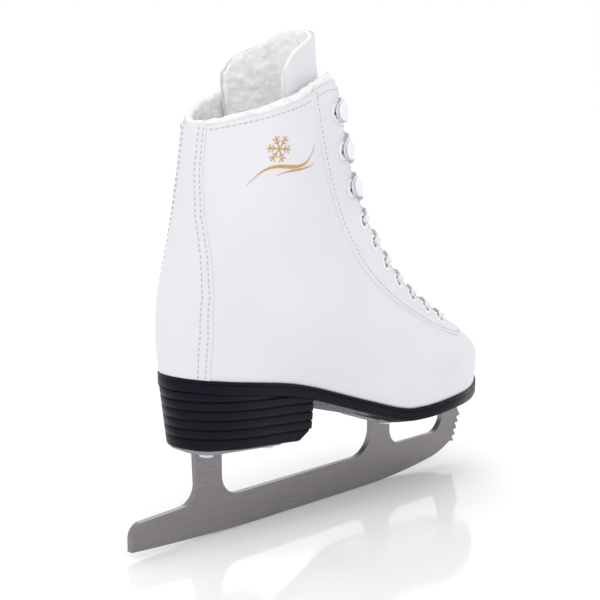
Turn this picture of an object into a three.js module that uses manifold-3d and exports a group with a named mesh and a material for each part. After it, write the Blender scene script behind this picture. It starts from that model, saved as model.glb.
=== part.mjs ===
// Figure skate for the right foot: a leather boot with a fleece lining, a moulded sole and
// heel, and a steel blade on two plates. Millimetres, +X to the toe, +Y to the inner side
// of the foot, +Z up, with the origin where the rocker of the blade meets the ice.
import * as THREE from "three";
import { mergeVertices } from "three/addons/utils/BufferGeometryUtils.js";
import { LoftGeometry } from "three/addons/geometries/LoftGeometry.js";
import Module from "manifold-3d";

const wasm = await Module();
wasm.setup();

// ---------------------------------------------------------------- driving dimensions

const GAP = 0.3;
const LAYER_GAP = 0.4; // between curved layers of the upper

// Boot outline. Each level is a closed loop in a tilted plane, from a back point to a front
// point (x, z), with half widths and sideways shifts at the back, counter, waist, ball and
// front. The first level is the feather line, the last but one the collar, and the last
// one the tip of the tongue.
const LEVELS = [
  { back: [-104, 96.3], front: [155, 58.5], half: [52, 32.7, 32.3, 47.6, 47], shift: [0, 0, -4, -1.8, 7] },
  { back: [-105.8, 106], front: [155.5, 78], half: [50, 36, 34, 48.5, 46], shift: [0, 0, -4, -1.5, 6] },
  { back: [-106.5, 115], front: [134, 93.5], half: [48, 38, 34.5, 41, 45], shift: [0, 0, -3, -1, 4] },
  { back: [-106, 125], front: [105, 109], half: [46, 39.5, 36, 37, 45], shift: [0, 0, -2, -0.5, 2] },
  { back: [-104, 138], front: [74, 131], half: [43, 41, 37, 36, 44], shift: [0, 0, -1, 0, 1] },
  { back: [-100, 155], front: [48.5, 160], half: [37, 40.5, 38, 35, 43], shift: [0, 0, 0, 0, 0] },
  { back: [-94.5, 180], front: [28, 193], half: [31, 39, 38, 33.5, 44], shift: [0, 0, 0, 0, 0] },
  { back: [-86, 230], front: [9.5, 257], half: [29, 35.5, 36, 32.5, 44], shift: [0, 0, 0, 0, 0] },
  { back: [-80, 262], front: [6, 290], half: [28, 35, 36, 32.5, 43], shift: [0, 0, 0, 0, 0] },
];
const COLLAR_LEVEL = 7;
const ARCH_FADE_LEVEL = 3;

// Height of the feather line along the foot (x, z): heel seat, waist, ball and toe.
const FEATHER = [
  [-112, 97.6],
  [-61, 89.8],
  [-28, 82.7],
  [14, 68.2],
  [43.5, 58.6],
  [60, 57.4],
  [90, 59.2],
  [125, 58.3],
  [165, 58.8],
];

// Layers of the upper, from the outside in.
const LEATHER_THICKNESS = 1.6;
const STIFFENER_THICKNESS = 1.2;
const FLEECE_THICKNESS = 3;
const FLEECE_ABOVE_COLLAR = 0.05; // of a level
// Their grid: steps round the boot and steps up it, shared so that the layers stay parallel.
const GRID_ROUND = 36;
const GRID_RISE = 9;
const COUNTER = { columns: 6, rows: [0, 5] };
const PUFF = { columns: 4, rows: [0, 2] };
const PADDING = { columns: 9, rows: [6, 8] };

// Throat of the boot in plan (x, half width): open from the collar to its rounded end.
const THROAT = [
  [-30, 21.5],
  [20, 21.5],
  [55, 18],
  [100, 13],
];
const THROAT_END = 119;
const THROAT_DEPTH = 24;

// Seam of the facing in side view (x, z), from the collar down to the front of the vamp.
const FACING_SEAM = [
  [-36, 275],
  [-28, 250],
  [-18.5, 214],
  [-10, 190],
  [0.5, 167],
  [14, 147.5],
  [34, 130],
  [57, 115],
  [80, 103],
  [97, 96],
  [112, 91.8],
  [124, 91.5],
  [131, 94.5],
  [134, 100],
];

// Back panel: half width at heights up the heel.
const BACK_PANEL = [
  [80, 20.5],
  [98, 20.5],
  [120, 22.5],
  [140, 22.5],
  [160, 19],
  [182, 13.5],
  [205, 10.5],
  [290, 9.5],
];
const BACK_PANEL_REACH = -72;

// Tongue: how far round it wraps (half angle at each level), how its tip rounds off.
const TONGUE_WRAP = [0.5, 0.5, 0.5, 0.5, 0.66, 0.92, 1.28, 1.62, 1.66];
const TONGUE_LEVELS = [2.2, 7.72];
const TONGUE_TIP_DROP = 0.32;
const TONGUE_SPLIT_LEVEL = 6.9;
const TONGUE_THICKNESS = 5;
const LACE_SPACE = 2.8;

// Eyelets, hooks and lace.
const EYELET_ROWS = 7;
const HOOK_ROWS = 3;
const ROW_Y = [22.5, 26.5];
const EYELET_PITCH = 17;
const HOOK_PITCH = 22.8;
const FIRST_EYELET_Z = 104;
const EYELET_FLANGE_RADIUS = 4.9;
const EYELET_BORE_RADIUS = 2.8;
const EYELET_WALL = 0.5;
const EYELET_FLANGE_HEIGHT = 0.8;
const FASTENER_LIFT = 0.5; // of flanges and hook bases above the leather
const HOOK_BASE_RADIUS = 5.3;
const HOOK_NECK_RADIUS = 1.7;
const HOOK_NECK_OFFSET = 1.2;
const HOOK_CAP_OFFSET = 1.8;
const HOOK_CAP_RADIUS = 5.2;
const HOOK_CAP_HEIGHT = 4.6;
const HOOK_PLATE = 1;
const LACE_THICKNESS = 1.1;
// Lace widths: flat over the tongue, folded in an eyelet, and bunched round a hook's neck.
const LACE_WIDTH = { flat: 5.2, eyelet: 3.2, hook: 2.6 };
// Lace depths under the boot's face at shares of the way across, for each side it starts from.
const LACE_BELOW_LINING = 1.4; // from the lining to the middle of the lace
const LACE_OVER = 2.3;
const LACE_HOOK_HEIGHT = 3.05;
const LACE_MIDDLE = {
  eyelet: { lateral: [[0.36, 1.6], [0.5, 2.6], [0.64, 3.8]], medial: [[0.35, 4.6], [0.42, 7.2], [0.5, 7.9], [0.64, 8]] },
  hook: { lateral: [[0.36, 4.6], [0.5, 5.4], [0.64, 4.6]], medial: [[0.36, 7.2], [0.5, 8], [0.64, 7.2]] },
};
const LACE_STEP = 3.4;

// Sole, heel and inner sole.
const WELT = 1.2;
const SOLE_EDGE = 7.6;
const BEVEL = 11;
const FORE_SEAT_Z = 46.8;
const FORE_SEAT_X = [30, 52];
const HEEL_BREAST_X = -22;
const HEEL_BREAST_CHAMFER = [11, 8];
const HEEL_TILT = Math.atan(0.077);
const HEEL_SEAT = [-65, 52.7];
const HEEL_BASE_INSET = 4.2;
const HEEL_LIFT = 5.36;
const HEEL_BOTTOM_LIFT = 6.4;
const HEEL_GROOVES = 6;
const HEEL_GROOVE = 0.9;
const HEEL_BLOCK_HEIGHT = 60;
const WAIST_COVER_X = [-19, 26];
const WAIST_COVER_HALF = [17, 20];
const WAIST_COVER_DEPTH = 5.5;
const SHANK = { x: [-70, 55], half: 7, thickness: 1.4 };
const BOARD_THICKNESS = 2.2;
const FOOTBED_THICKNESS = 3.5;
const FOOTBED_CLEARANCE = 2.5;

// Blade and plates.
const BLADE_THICKNESS = 4;
const ICE_FLAT = [-30, 50];
const ROCKER_RADIUS = 1400;
const SPIN_ROCKER_RADIUS = 417;
const TOE_CURVE = { from: 115, radius: 51, to: 135.4 };
const RUNNER_TOP = 19.9;
const TAIL_X = -132.6;
const REAR_POST = [-86.8, -68.1];
const FRONT_POST = [56.8, 74.6];
const TOE_CUTOUT_END = 125.5;
const TOE_TOP_X = 141;
const PICKS = { count: 5, x: 139.7, z: 11.5, stepX: 1.55, stepZ: 4.25, notchX: -2.1, notchZ: 3.8 };
const PLATE_THICKNESS = 2.2;
const SOLE_PLATE = { x: [47, 144.2], half: [21, 25, 16] };
const HEEL_PLATE = { x: [-31, 31], half: [17.5, 19] };
const SCREW = { shank: 1.9, head: 4, headHeight: 1.5, length: 9 };
const SOLE_SCREWS = [
  [56, 14],
  [92, 17],
  [132, 10],
];
const HEEL_SCREWS = [
  [-22, 11],
  [22, 12],
];

// ---------------------------------------------------------------- shape tools

// Catmull-Rom value at t along evenly spaced numbers, running straight on at both ends.
function eased(list, t) {
  const last = list.length - 1;
  const i = THREE.MathUtils.clamp(Math.floor(t), 0, last - 1);
  const w = t - i;
  const b = list[i];
  const c = list[i + 1];
  const a = i > 0 ? list[i - 1] : 2 * b - c;
  const d = i + 2 <= last ? list[i + 2] : 2 * c - b;
  const square = 2 * a - 5 * b + 4 * c - d;
  const cube = 3 * b - a - 3 * c + d;
  return b + 0.5 * w * (c - a + w * (square + w * cube));
}

// Value on a broken line of (position, value) pairs.
function along(line, at) {
  const next = line.findIndex(([x]) => x >= at);
  if (next <= 0) return line[next === 0 ? 0 : line.length - 1][1];
  const [x0, v0] = line[next - 1];
  const [x1, v1] = line[next];
  return v0 + ((v1 - v0) * (at - x0)) / (x1 - x0);
}

// Closed geometry as a solid with its faces pointing out.
function solid(geometry) {
  const loose = geometry.index ? geometry.toNonIndexed() : geometry;
  const bare = new THREE.BufferGeometry().setAttribute("position", loose.getAttribute("position"));
  const merged = mergeVertices(bare, 1e-4);
  const corners = merged.index.array;
  const faces = [];
  for (let i = 0; i < corners.length; i += 3) {
    const [a, b, c] = corners.slice(i, i + 3);
    if (a !== b && b !== c && c !== a) faces.push(a, b, c);
  }
  const vertProperties = merged.attributes.position.array;
  const make = (list) =>
    new wasm.Manifold(new wasm.Mesh({ numProp: 3, vertProperties, triVerts: new Uint32Array(list) }));
  const made = make(faces);
  return made.volume() > 0 ? made : make(faces.reverse());
}

// Extruded outline in the x-z plane, reaching from y = low to y = high.
function sideways(shape, low, high) {
  const geometry = new THREE.ExtrudeGeometry(shape, { depth: high - low, bevelEnabled: false, curveSegments: 4 });
  return solid(geometry.rotateX(Math.PI / 2).translate(0, high, 0));
}

// Extruded outline in the x-y plane, reaching from z = low to z = high.
function upright(shape, low, high) {
  const geometry = new THREE.ExtrudeGeometry(shape, { depth: high - low, bevelEnabled: false, curveSegments: 4 });
  return solid(geometry.translate(0, 0, low));
}

// Outline through corners (x, y, radius), each rounded by an arc of its radius.
function rounded(corners) {
  const shape = new THREE.Shape();
  corners.forEach(([x, y, radius = 0], i) => {
    const corner = new THREE.Vector2(x, y);
    const before = new THREE.Vector2(...corners.at(i - 1)).sub(corner).normalize();
    const after = new THREE.Vector2(...corners[(i + 1) % corners.length]).sub(corner).normalize();
    const halfAngle = Math.acos(THREE.MathUtils.clamp(before.dot(after), -1, 1)) / 2;
    const reach = radius / Math.tan(halfAngle);
    const enter = corner.clone().addScaledVector(before, reach);
    if (i === 0) shape.moveTo(enter.x, enter.y);
    else shape.lineTo(enter.x, enter.y);
    if (!radius) return;
    const middle = before.clone().add(after).normalize();
    const centre = corner.clone().addScaledVector(middle, radius / Math.sin(halfAngle));
    const leave = corner.clone().addScaledVector(after, reach);
    const start = enter.sub(centre).angle();
    const end = leave.sub(centre).angle();
    const clockwise = before.cross(after) > 0;
    shape.absarc(centre.x, centre.y, radius, start, end, clockwise);
  });
  shape.closePath();
  return shape;
}

// Middle and area vector of a ring of points.
function ringFacing(ring) {
  const middle = new THREE.Vector3();
  const area = new THREE.Vector3();
  ring.forEach((point, i) => {
    const next = ring[(i + 1) % ring.length];
    middle.addScaledVector(point, 1 / ring.length);
    area.add(new THREE.Vector3().crossVectors(point, next));
  });
  return { middle, area };
}

// Solid skinned over rings of points, each turned to wind round the way it runs, ends closed.
function lofted(rings) {
  const start = ringFacing(rings[0]);
  const ahead = ringFacing(rings[1]).middle.sub(start.middle);
  const wound = start.area.dot(ahead) > 0 ? rings : rings.map((ring) => ring.toReversed());
  return solid(new LoftGeometry(wound, { capStart: true, capEnd: true }));
}

// Numbers from a to b in equal steps, both ends included.
function steps(a, b, count) {
  return Array.from({ length: count + 1 }, (_, i) => a + ((b - a) * i) / count);
}

// Matrix that stands a part's z axis along a normal, with its x axis towards a direction.
function standing(place, normal, towards) {
  const side = new THREE.Vector3().crossVectors(normal, towards).normalize();
  const forward = new THREE.Vector3().crossVectors(side, normal);
  return new THREE.Matrix4().makeBasis(forward, side, normal).setPosition(place);
}

function cylinder(radius, low, high, segments = 12) {
  const geometry = new THREE.CylinderGeometry(radius, radius, high - low, segments);
  return geometry.rotateX(Math.PI / 2).translate(0, 0, (low + high) / 2);
}

const root = new THREE.Group();

const looks = {
  leather: { color: 0xe9eaf0, roughness: 0.42, metalness: 0 },
  facing: { color: 0xeeeff4, roughness: 0.42, metalness: 0 },
  fleece: { color: 0xe6e5e0, roughness: 0.95, metalness: 0 },
  foam: { color: 0xd8d2c0, roughness: 0.9, metalness: 0 },
  board: { color: 0xb59f7c, roughness: 0.85, metalness: 0 },
  rubber: { color: 0x121318, roughness: 0.4, metalness: 0 },
  grain: { color: 0x6d6f74, roughness: 0.85, metalness: 0 },
  steel: { color: 0xa8a49f, roughness: 0.32, metalness: 1 },
  zinc: { color: 0xc6c8cc, roughness: 0.3, metalness: 1 },
  enamel: { color: 0xf2f3f7, roughness: 0.28, metalness: 0.1 },
  lace: { color: 0xf1f2f6, roughness: 0.85, metalness: 0 },
};

// Named mesh of a solid, added to the skate.
function add(name, body, look) {
  const { vertProperties, triVerts, numProp } = body.getMesh();
  const positions = new Float32Array(triVerts.length * 3);
  triVerts.forEach((v, i) => {
    positions.set(vertProperties.subarray(v * numProp, v * numProp + 3), i * 3);
  });
  const geometry = new THREE.BufferGeometry();
  geometry.setAttribute("position", new THREE.BufferAttribute(positions, 3));
  geometry.computeVertexNormals();
  const mesh = new THREE.Mesh(geometry, new THREE.MeshStandardMaterial(looks[look]));
  mesh.name = name;
  root.add(mesh);
}

// ---------------------------------------------------------------- boot surface

const backX = LEVELS.map((level) => level.back[0]);
const backZ = LEVELS.map((level) => level.back[1]);
const frontX = LEVELS.map((level) => level.front[0]);
const frontZ = LEVELS.map((level) => level.front[1]);
const featherCurve = new THREE.SplineCurve(FEATHER.map(([x, z]) => new THREE.Vector2(x, z)));
const featherLine = featherCurve.getPoints(40).map((point) => [point.x, point.y]);

// Point of the boot's outer face: angle 0 at the back, PI at the front, positive inwards.
function onBoot(angle, level) {
  const share = (1 - Math.cos(angle)) / 2;
  const x = THREE.MathUtils.lerp(eased(backX, level), eased(frontX, level), share);
  const chord = THREE.MathUtils.lerp(eased(backZ, level), eased(frontZ, level), share);
  const firstChord = THREE.MathUtils.lerp(backZ[0], frontZ[0], (x - backX[0]) / (frontX[0] - backX[0]));
  const fade = Math.max(0, 1 - level / ARCH_FADE_LEVEL) ** 2;
  const z = chord + fade * (along(featherLine, x) - firstChord);
  const half = eased([0, 1, 2, 3, 4].map((k) => eased(LEVELS.map((one) => one.half[k]), level)), share * 4);
  const shift = eased([0, 1, 2, 3, 4].map((k) => eased(LEVELS.map((one) => one.shift[k]), level)), share * 4);
  return new THREE.Vector3(x, shift + half * Math.sin(angle), z);
}

// Outward normal of the boot's outer face, from its two slopes.
function bootNormal(angle, level) {
  const step = 0.02;
  const round = onBoot(angle + step, level).sub(onBoot(angle - step, level));
  const rise = onBoot(angle, level + step).sub(onBoot(angle, Math.max(0, level - step)));
  return rise.cross(round).normalize();
}

function underBoot(angle, level, depth) {
  return onBoot(angle, level).addScaledVector(bootNormal(angle, level), -depth);
}

// Angle at which a level of the boot's front half reaches a sideways place.
function angleAt(level, y) {
  const side = Math.sign(y);
  let near = Math.PI;
  let far = Math.PI / 2;
  for (let i = 0; i < 30; i += 1) {
    const middle = (near + far) / 2;
    if (Math.abs(onBoot(side * middle, level).y) < Math.abs(y)) near = middle;
    else far = middle;
  }
  return side * near;
}

// Shell between two depths under the boot's face, over levels, closed all the way round.
function wrap(outer, inner, levels) {
  const rings = steps(-Math.PI, Math.PI, GRID_ROUND).map((angle) => [
    ...levels.map((level) => underBoot(angle, level, inner)),
    ...levels.toReversed().map((level) => underBoot(angle, level, outer)),
  ]);
  return solid(new LoftGeometry(rings));
}

// The same over a part of the way round, centred on an angle, with closed ends. The levels
// and the half angle of the reach may change across it.
function patch(outer, inner, levelsAt, centre, reach, around) {
  const rings = steps(-1, 1, around).map((share) => {
    const levels = levelsAt(share);
    return [
      ...levels.map((level) => underBoot(centre + share * reach(level), level, inner)),
      ...levels.toReversed().map((level) => underBoot(centre + share * reach(level), level, outer)),
    ];
  });
  return lofted(rings);
}

// ---------------------------------------------------------------- sole and heel outlines

// Feather outline in plan, grown sideways by an amount.
function soleEdge(angle, grow) {
  const step = 0.01;
  const point = onBoot(angle, 0);
  const slope = onBoot(angle + step, 0).sub(onBoot(angle - step, 0));
  const outward = new THREE.Vector2(slope.y, -slope.x).normalize();
  return new THREE.Vector3(point.x + outward.x * -grow, point.y + outward.y * -grow, 0);
}

const soleTop = (x) => along(featherLine, x);

function soleMiddle(x) {
  const plain = soleTop(x) - SOLE_EDGE;
  const share = THREE.MathUtils.smoothstep(x, ...FORE_SEAT_X);
  return THREE.MathUtils.lerp(plain, Math.min(plain, FORE_SEAT_Z), share);
}

// Slab under the boot's outline: top and bottom heights are functions of x.
function outlineSlab(grow, top, bottom, count = 22) {
  const rings = steps(0.1, Math.PI - 0.1, count).map((angle) => {
    const outer = soleEdge(-angle, grow);
    const inner = soleEdge(angle, grow);
    return [
      outer.clone().setZ(top(outer.x)),
      inner.clone().setZ(top(inner.x)),
      inner.clone().setZ(bottom(inner.x)),
      outer.clone().setZ(bottom(outer.x)),
    ];
  });
  return lofted(rings);
}

const aboveSole = (lift) => (x) => soleTop(x) + lift;
const boardTop = aboveSole(2 * GAP + BOARD_THICKNESS);
const belowBoard = outlineSlab(12, aboveSole(3 * GAP + BOARD_THICKNESS), aboveSole(-30));

// ---------------------------------------------------------------- boot

const gridLevels = steps(0, COLLAR_LEVEL, GRID_RISE);
const leatherDepth = LEATHER_THICKNESS;
const stiffenerDepth = leatherDepth + LAYER_GAP;
const fleeceDepth = stiffenerDepth + STIFFENER_THICKNESS + LAYER_GAP;
const liningDepth = fleeceDepth + FLEECE_THICKNESS;
const tongueDepth = liningDepth + LACE_SPACE;
const laceDepth = liningDepth + LACE_BELOW_LINING;

// Throat cutter: the front of the boot between its two facings, down to a rounded end.
function throatCutter() {
  const plan = new THREE.Shape();
  const nose = THROAT.at(-1)[1];
  plan.moveTo(THROAT[0][0], -THROAT[0][1]);
  THROAT.slice(1, -1).forEach(([x, half]) => plan.lineTo(x, -half));
  plan.absarc(THROAT_END - nose, 0, nose, -Math.PI / 2, Math.PI / 2, false);
  THROAT.slice(0, -1).toReversed().forEach(([x, half]) => plan.lineTo(x, half));
  const levels = steps(2, 8, 12);
  const inside = levels.map((level) => underBoot(Math.PI, level, THROAT_DEPTH));
  const outside = levels.toReversed().map((level) => underBoot(Math.PI, level, -THROAT_DEPTH));
  const side = new THREE.Shape([...inside, ...outside].map((point) => new THREE.Vector2(point.x, point.z)));
  return upright(plan, 60, 320).intersect(sideways(side, -60, 60));
}

// Facing cutter: all that lies ahead of the facing's seam in side view, grown backwards.
function facingCutter(grow) {
  const seam = FACING_SEAM.map(([x, z], i) => {
    const [x0, z0] = FACING_SEAM[Math.max(0, i - 1)];
    const [x1, z1] = FACING_SEAM[Math.min(FACING_SEAM.length - 1, i + 1)];
    const run = new THREE.Vector2(x1 - x0, z1 - z0).normalize();
    return new THREE.Vector2(x + run.y * grow, z - run.x * grow);
  });
  const front = [new THREE.Vector2(160, 130), new THREE.Vector2(160, 320), new THREE.Vector2(-30, 320)];
  return sideways(new THREE.Shape([...seam, ...front]), -60, 60);
}

// Back panel cutter, grown sideways.
function backCutter(grow) {
  const side = [-1, 1].flatMap((sign) => {
    const line = sign < 0 ? BACK_PANEL : BACK_PANEL.toReversed();
    return line.map(([z, half]) => new THREE.Vector2(z, sign * (half + grow)));
  });
  const geometry = new THREE.ExtrudeGeometry(new THREE.Shape(side), { depth: 80, bevelEnabled: false });
  const turn = new THREE.Matrix4().makeBasis(
    new THREE.Vector3(0, 0, 1),
    new THREE.Vector3(0, 1, 0),
    new THREE.Vector3(-1, 0, 0),
  );
  return solid(geometry.applyMatrix4(turn).translate(BACK_PANEL_REACH, 0, 0));
}

// Eyelet and hook places: along a line at ROW_Y on each side, measured up from the lowest.
function rowPlaces(side) {
  const rowY = (level) => THREE.MathUtils.lerp(...ROW_Y, (level - 2) / (COLLAR_LEVEL - 2));
  const line = steps(2.2, COLLAR_LEVEL, 80).map((level) => {
    const angle = angleAt(level, side * rowY(level));
    return { angle, level, point: onBoot(angle, level) };
  });
  const first = line.findIndex(({ point }) => point.z >= FIRST_EYELET_Z);
  const wanted = [...steps(0, (EYELET_ROWS - 1) * EYELET_PITCH, EYELET_ROWS - 1)];
  for (let i = 1; i <= HOOK_ROWS; i += 1) wanted.push(wanted[EYELET_ROWS - 1] + i * HOOK_PITCH);
  const found = [];
  let travelled = 0;
  for (let i = first; i < line.length - 1 && found.length < wanted.length; i += 1) {
    const length = line[i].point.distanceTo(line[i + 1].point);
    while (found.length < wanted.length && travelled + length >= wanted[found.length]) {
      const share = (wanted[found.length] - travelled) / length;
      const level = THREE.MathUtils.lerp(line[i].level, line[i + 1].level, share);
      found.push({ level, angle: angleAt(level, side * rowY(level)), side });
    }
    travelled += length;
  }
  return found.map((row) => {
    const point = onBoot(row.angle, row.level);
    const normal = bootNormal(row.angle, row.level);
    const inward = new THREE.Vector3(0, -side, 0);
    const towards = inward.addScaledVector(normal, -inward.dot(normal)).normalize();
    return { ...row, point, normal, towards };
  });
}

const sides = { lateral: rowPlaces(-1), medial: rowPlaces(1) };
const allRows = Object.values(sides).flat();

// Holes through every layer for the eyelets, and for the rivets of the hooks.
const fastenerHoles = Object.values(sides).flatMap((rows) =>
  rows.map(({ point, normal, towards }, i) => {
    const radius = i < EYELET_ROWS ? EYELET_BORE_RADIUS + EYELET_WALL + 2 * GAP : HOOK_NECK_RADIUS + 2 * GAP;
    return solid(cylinder(radius, -9, 4, 6).applyMatrix4(standing(point, normal, towards)));
  }),
);
const cut = (body, ...cutters) => cutters.reduce((left, cutter) => left.subtract(cutter), body);

const leather = wrap(0, leatherDepth, gridLevels);
const throat = throatCutter();
const featherCut = outlineSlab(12, aboveSole(GAP), aboveSole(-30));

add("quarters_and_vamp", cut(leather, facingCutter(GAP), backCutter(GAP), featherCut), "leather");
add("back_panel", leather.intersect(backCutter(0)).subtract(featherCut), "leather");
add("lace_facing", cut(leather.intersect(facingCutter(0)), throat, ...fastenerHoles), "facing");

const stiffener = [stiffenerDepth, stiffenerDepth + STIFFENER_THICKNESS];
function gridPatch(centre, { columns, rows }) {
  const levels = gridLevels.slice(rows[0], rows[1] + 1);
  const reach = (columns * 2 * Math.PI) / GRID_ROUND;
  return patch(...stiffener, () => levels, centre, () => reach, 2 * columns);
}
add("heel_counter", gridPatch(0, COUNTER).subtract(belowBoard), "board");
add("toe_puff", gridPatch(Math.PI, PUFF).subtract(belowBoard), "board");
add("collar_padding", gridPatch(0, PADDING), "foam");

const fleeceLevels = gridLevels.with(-1, COLLAR_LEVEL + FLEECE_ABOVE_COLLAR);
const fleece = wrap(fleeceDepth, liningDepth, fleeceLevels);
add("fleece_lining", cut(fleece, belowBoard, throat, ...fastenerHoles), "fleece");

// Tongue: a lower part held under the facing and a flap that stands above the top hooks.
function tongue(from, to, drop, count) {
  const levelsAt = (share) => steps(from, to - drop * share ** 4, count);
  const wrapAt = (level) => eased(TONGUE_WRAP, level);
  return patch(tongueDepth, tongueDepth + TONGUE_THICKNESS, levelsAt, Math.PI, wrapAt, 14);
}
const splitGap = 0.012;
add("tongue_body", tongue(TONGUE_LEVELS[0], TONGUE_SPLIT_LEVEL - splitGap, 0, 8), "fleece");
add("tongue_flap", tongue(TONGUE_SPLIT_LEVEL + splitGap, TONGUE_LEVELS[1], TONGUE_TIP_DROP, 4), "fleece");

// ---------------------------------------------------------------- eyelets, hooks, lace

function eyelet({ point, normal, towards }) {
  const barrel = EYELET_BORE_RADIUS + EYELET_WALL;
  const top = FASTENER_LIFT + EYELET_FLANGE_HEIGHT;
  const profile = [
    [EYELET_BORE_RADIUS, top],
    [EYELET_BORE_RADIUS, -liningDepth],
    [barrel, -liningDepth],
    [barrel, FASTENER_LIFT],
    [EYELET_FLANGE_RADIUS, FASTENER_LIFT],
    [EYELET_FLANGE_RADIUS - 0.4, top],
    [EYELET_BORE_RADIUS, top],
  ].map(([x, y]) => new THREE.Vector2(x, y));
  const geometry = new THREE.LatheGeometry(profile, 8).rotateX(Math.PI / 2);
  return solid(geometry.applyMatrix4(standing(point, normal, towards)));
}

function hook({ point, normal, towards }) {
  const pose = standing(point, normal, towards);
  const middle = FASTENER_LIFT + HOOK_PLATE / 2;
  const parts = [
    cylinder(HOOK_BASE_RADIUS, FASTENER_LIFT, FASTENER_LIFT + HOOK_PLATE, 10),
    cylinder(HOOK_NECK_RADIUS, -fleeceDepth + 1, middle, 6),
    cylinder(HOOK_NECK_RADIUS, middle, HOOK_CAP_HEIGHT + 0.2, 6).translate(HOOK_NECK_OFFSET, 0, 0),
    cylinder(HOOK_CAP_RADIUS, HOOK_CAP_HEIGHT, HOOK_CAP_HEIGHT + HOOK_PLATE, 10).translate(HOOK_CAP_OFFSET, 0, 0),
  ];
  const bodies = parts.map((part) => solid(part.applyMatrix4(pose)));
  return bodies.reduce((joined, body) => joined.add(body));
}

for (const [side, rows] of Object.entries(sides)) {
  rows.forEach((row, i) => {
    if (i < EYELET_ROWS) add(`eyelet_${side}_${i + 1}`, eyelet(row), "enamel");
    else add(`lace_hook_${side}_${i + 1 - EYELET_ROWS}`, hook(row), "enamel");
  });
}

// Place beside a fastener: so far out to the throat, up the row and above the leather.
function beside(row, out, up, height) {
  const upwards = new THREE.Vector3().crossVectors(row.towards, row.normal).multiplyScalar(row.side);
  const place = row.point.clone().addScaledVector(row.towards, out).addScaledVector(upwards, up);
  return place.addScaledVector(row.normal, height);
}

// Way up the row and towards the throat, turned by an angle from the first to the second.
function acrossAt(row, turn) {
  return beside(row, Math.sin(turn), Math.cos(turn), 0).sub(row.point);
}

// Up through an eyelet, from under the lining to over the flange.
function throughEyelet(row) {
  const knot = (out, height, width) => ({ place: beside(row, out, 0, height), across: acrossAt(row, 0), width });
  const narrow = LACE_WIDTH.eyelet;
  return [
    knot(0.4, -liningDepth - 0.4, narrow),
    knot(0, -4.5, narrow),
    knot(0, -0.8, narrow),
    knot(0.7, 1.2, narrow),
    knot(2.6, 2.35, narrow + 0.4),
  ];
}

// Round the neck of a hook between its base and its cap, coming from below.
function roundHook(row, last) {
  const away = HOOK_NECK_RADIUS + LACE_WIDTH.hook / 2 + 0.3;
  return steps(-1.2, last ? 1.5 : 1.2, 4).map((turn) => {
    const place = beside(row, HOOK_NECK_OFFSET - away * Math.cos(turn), away * Math.sin(turn), LACE_HOOK_HEIGHT);
    return { place, across: acrossAt(row, turn - Math.PI / 2), width: LACE_WIDTH.hook };
  });
}

// From one row across to the next on the other side, given the depths where it sets off and
// arrives, and (share, depth) pairs on the way.
function overTongue(from, to, fromDepth, toDepth, middle) {
  const unwound = (row) => (row.angle < 0 ? row.angle + 2 * Math.PI : row.angle);
  const at = (share, depth) => {
    const level = THREE.MathUtils.lerp(from.level, to.level, share);
    const angle = THREE.MathUtils.lerp(unwound(from), unwound(to), share);
    return { normal: bootNormal(angle, level), place: underBoot(angle, level, depth) };
  };
  const inThroat = (share, depth) => {
    const { place } = at(share, depth);
    return Math.abs(place.y) < along(THROAT, place.x) - 0.4;
  };
  const shares = steps(0, 0.5, 100);
  const leave = shares.find((share) => inThroat(share, fromDepth));
  const arrive = shares.find((share) => inThroat(1 - share, toDepth));
  const knots = [
    [leave * 0.72, fromDepth],
    [leave + 0.012, fromDepth - 0.35 * Math.sign(fromDepth)],
    ...middle,
    [1 - arrive - (toDepth > 0 ? 0.03 : 0.012), toDepth - Math.sign(toDepth) * 0.3],
    [1 - arrive * 0.66, toDepth],
  ].filter((_, i, all) => !(i === 0 && fromDepth < -LACE_OVER) && !(i === all.length - 1 && toDepth < 0));
  return knots.map(([share, depth]) => {
    const { place, normal } = at(share, depth);
    const run = at(share + 0.02, depth).place.sub(at(share - 0.02, depth).place);
    return { place, across: normal.cross(run).normalize(), width: LACE_WIDTH.flat };
  });
}

// The end beyond the top hook: over the edge of the facing and down inside the lining.
function tuckedEnd(row) {
  const step = 0.01;
  const round = onBoot(row.angle + step, row.level).distanceTo(onBoot(row.angle - step, row.level)) / (2 * step);
  const rise = onBoot(row.angle, row.level + step).distanceTo(onBoot(row.angle, row.level - step)) / (2 * step);
  const edge = (Math.abs(row.point.y) - along(THROAT, row.point.x)) / Math.abs(row.towards.y);
  const knots = [
    [edge - 1.4, 3.4, 2.6, 0],
    [edge + 1.6, 3.5, 0.6, 0],
    [edge + 2, 3.5, -3.2, 0],
    [edge + 0.6, 3.5, -liningDepth - 0.3, 0],
    [edge - 3, 3.3, -laceDepth, 0],
    [edge - 7, 0.8, -laceDepth, -0.8],
    [edge - 8.6, -4, -laceDepth, -1.35],
    [edge - 9, -14, -laceDepth, -Math.PI / 2],
    [edge - 9, -26, -laceDepth, -Math.PI / 2],
  ];
  return knots.map(([out, up, height, turn]) => ({
    place: underBoot(row.angle + (row.side * out) / round, row.level + up / rise, -height),
    across: acrossAt(row, turn),
    width: LACE_WIDTH.hook + 0.6,
  }));
}

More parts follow.
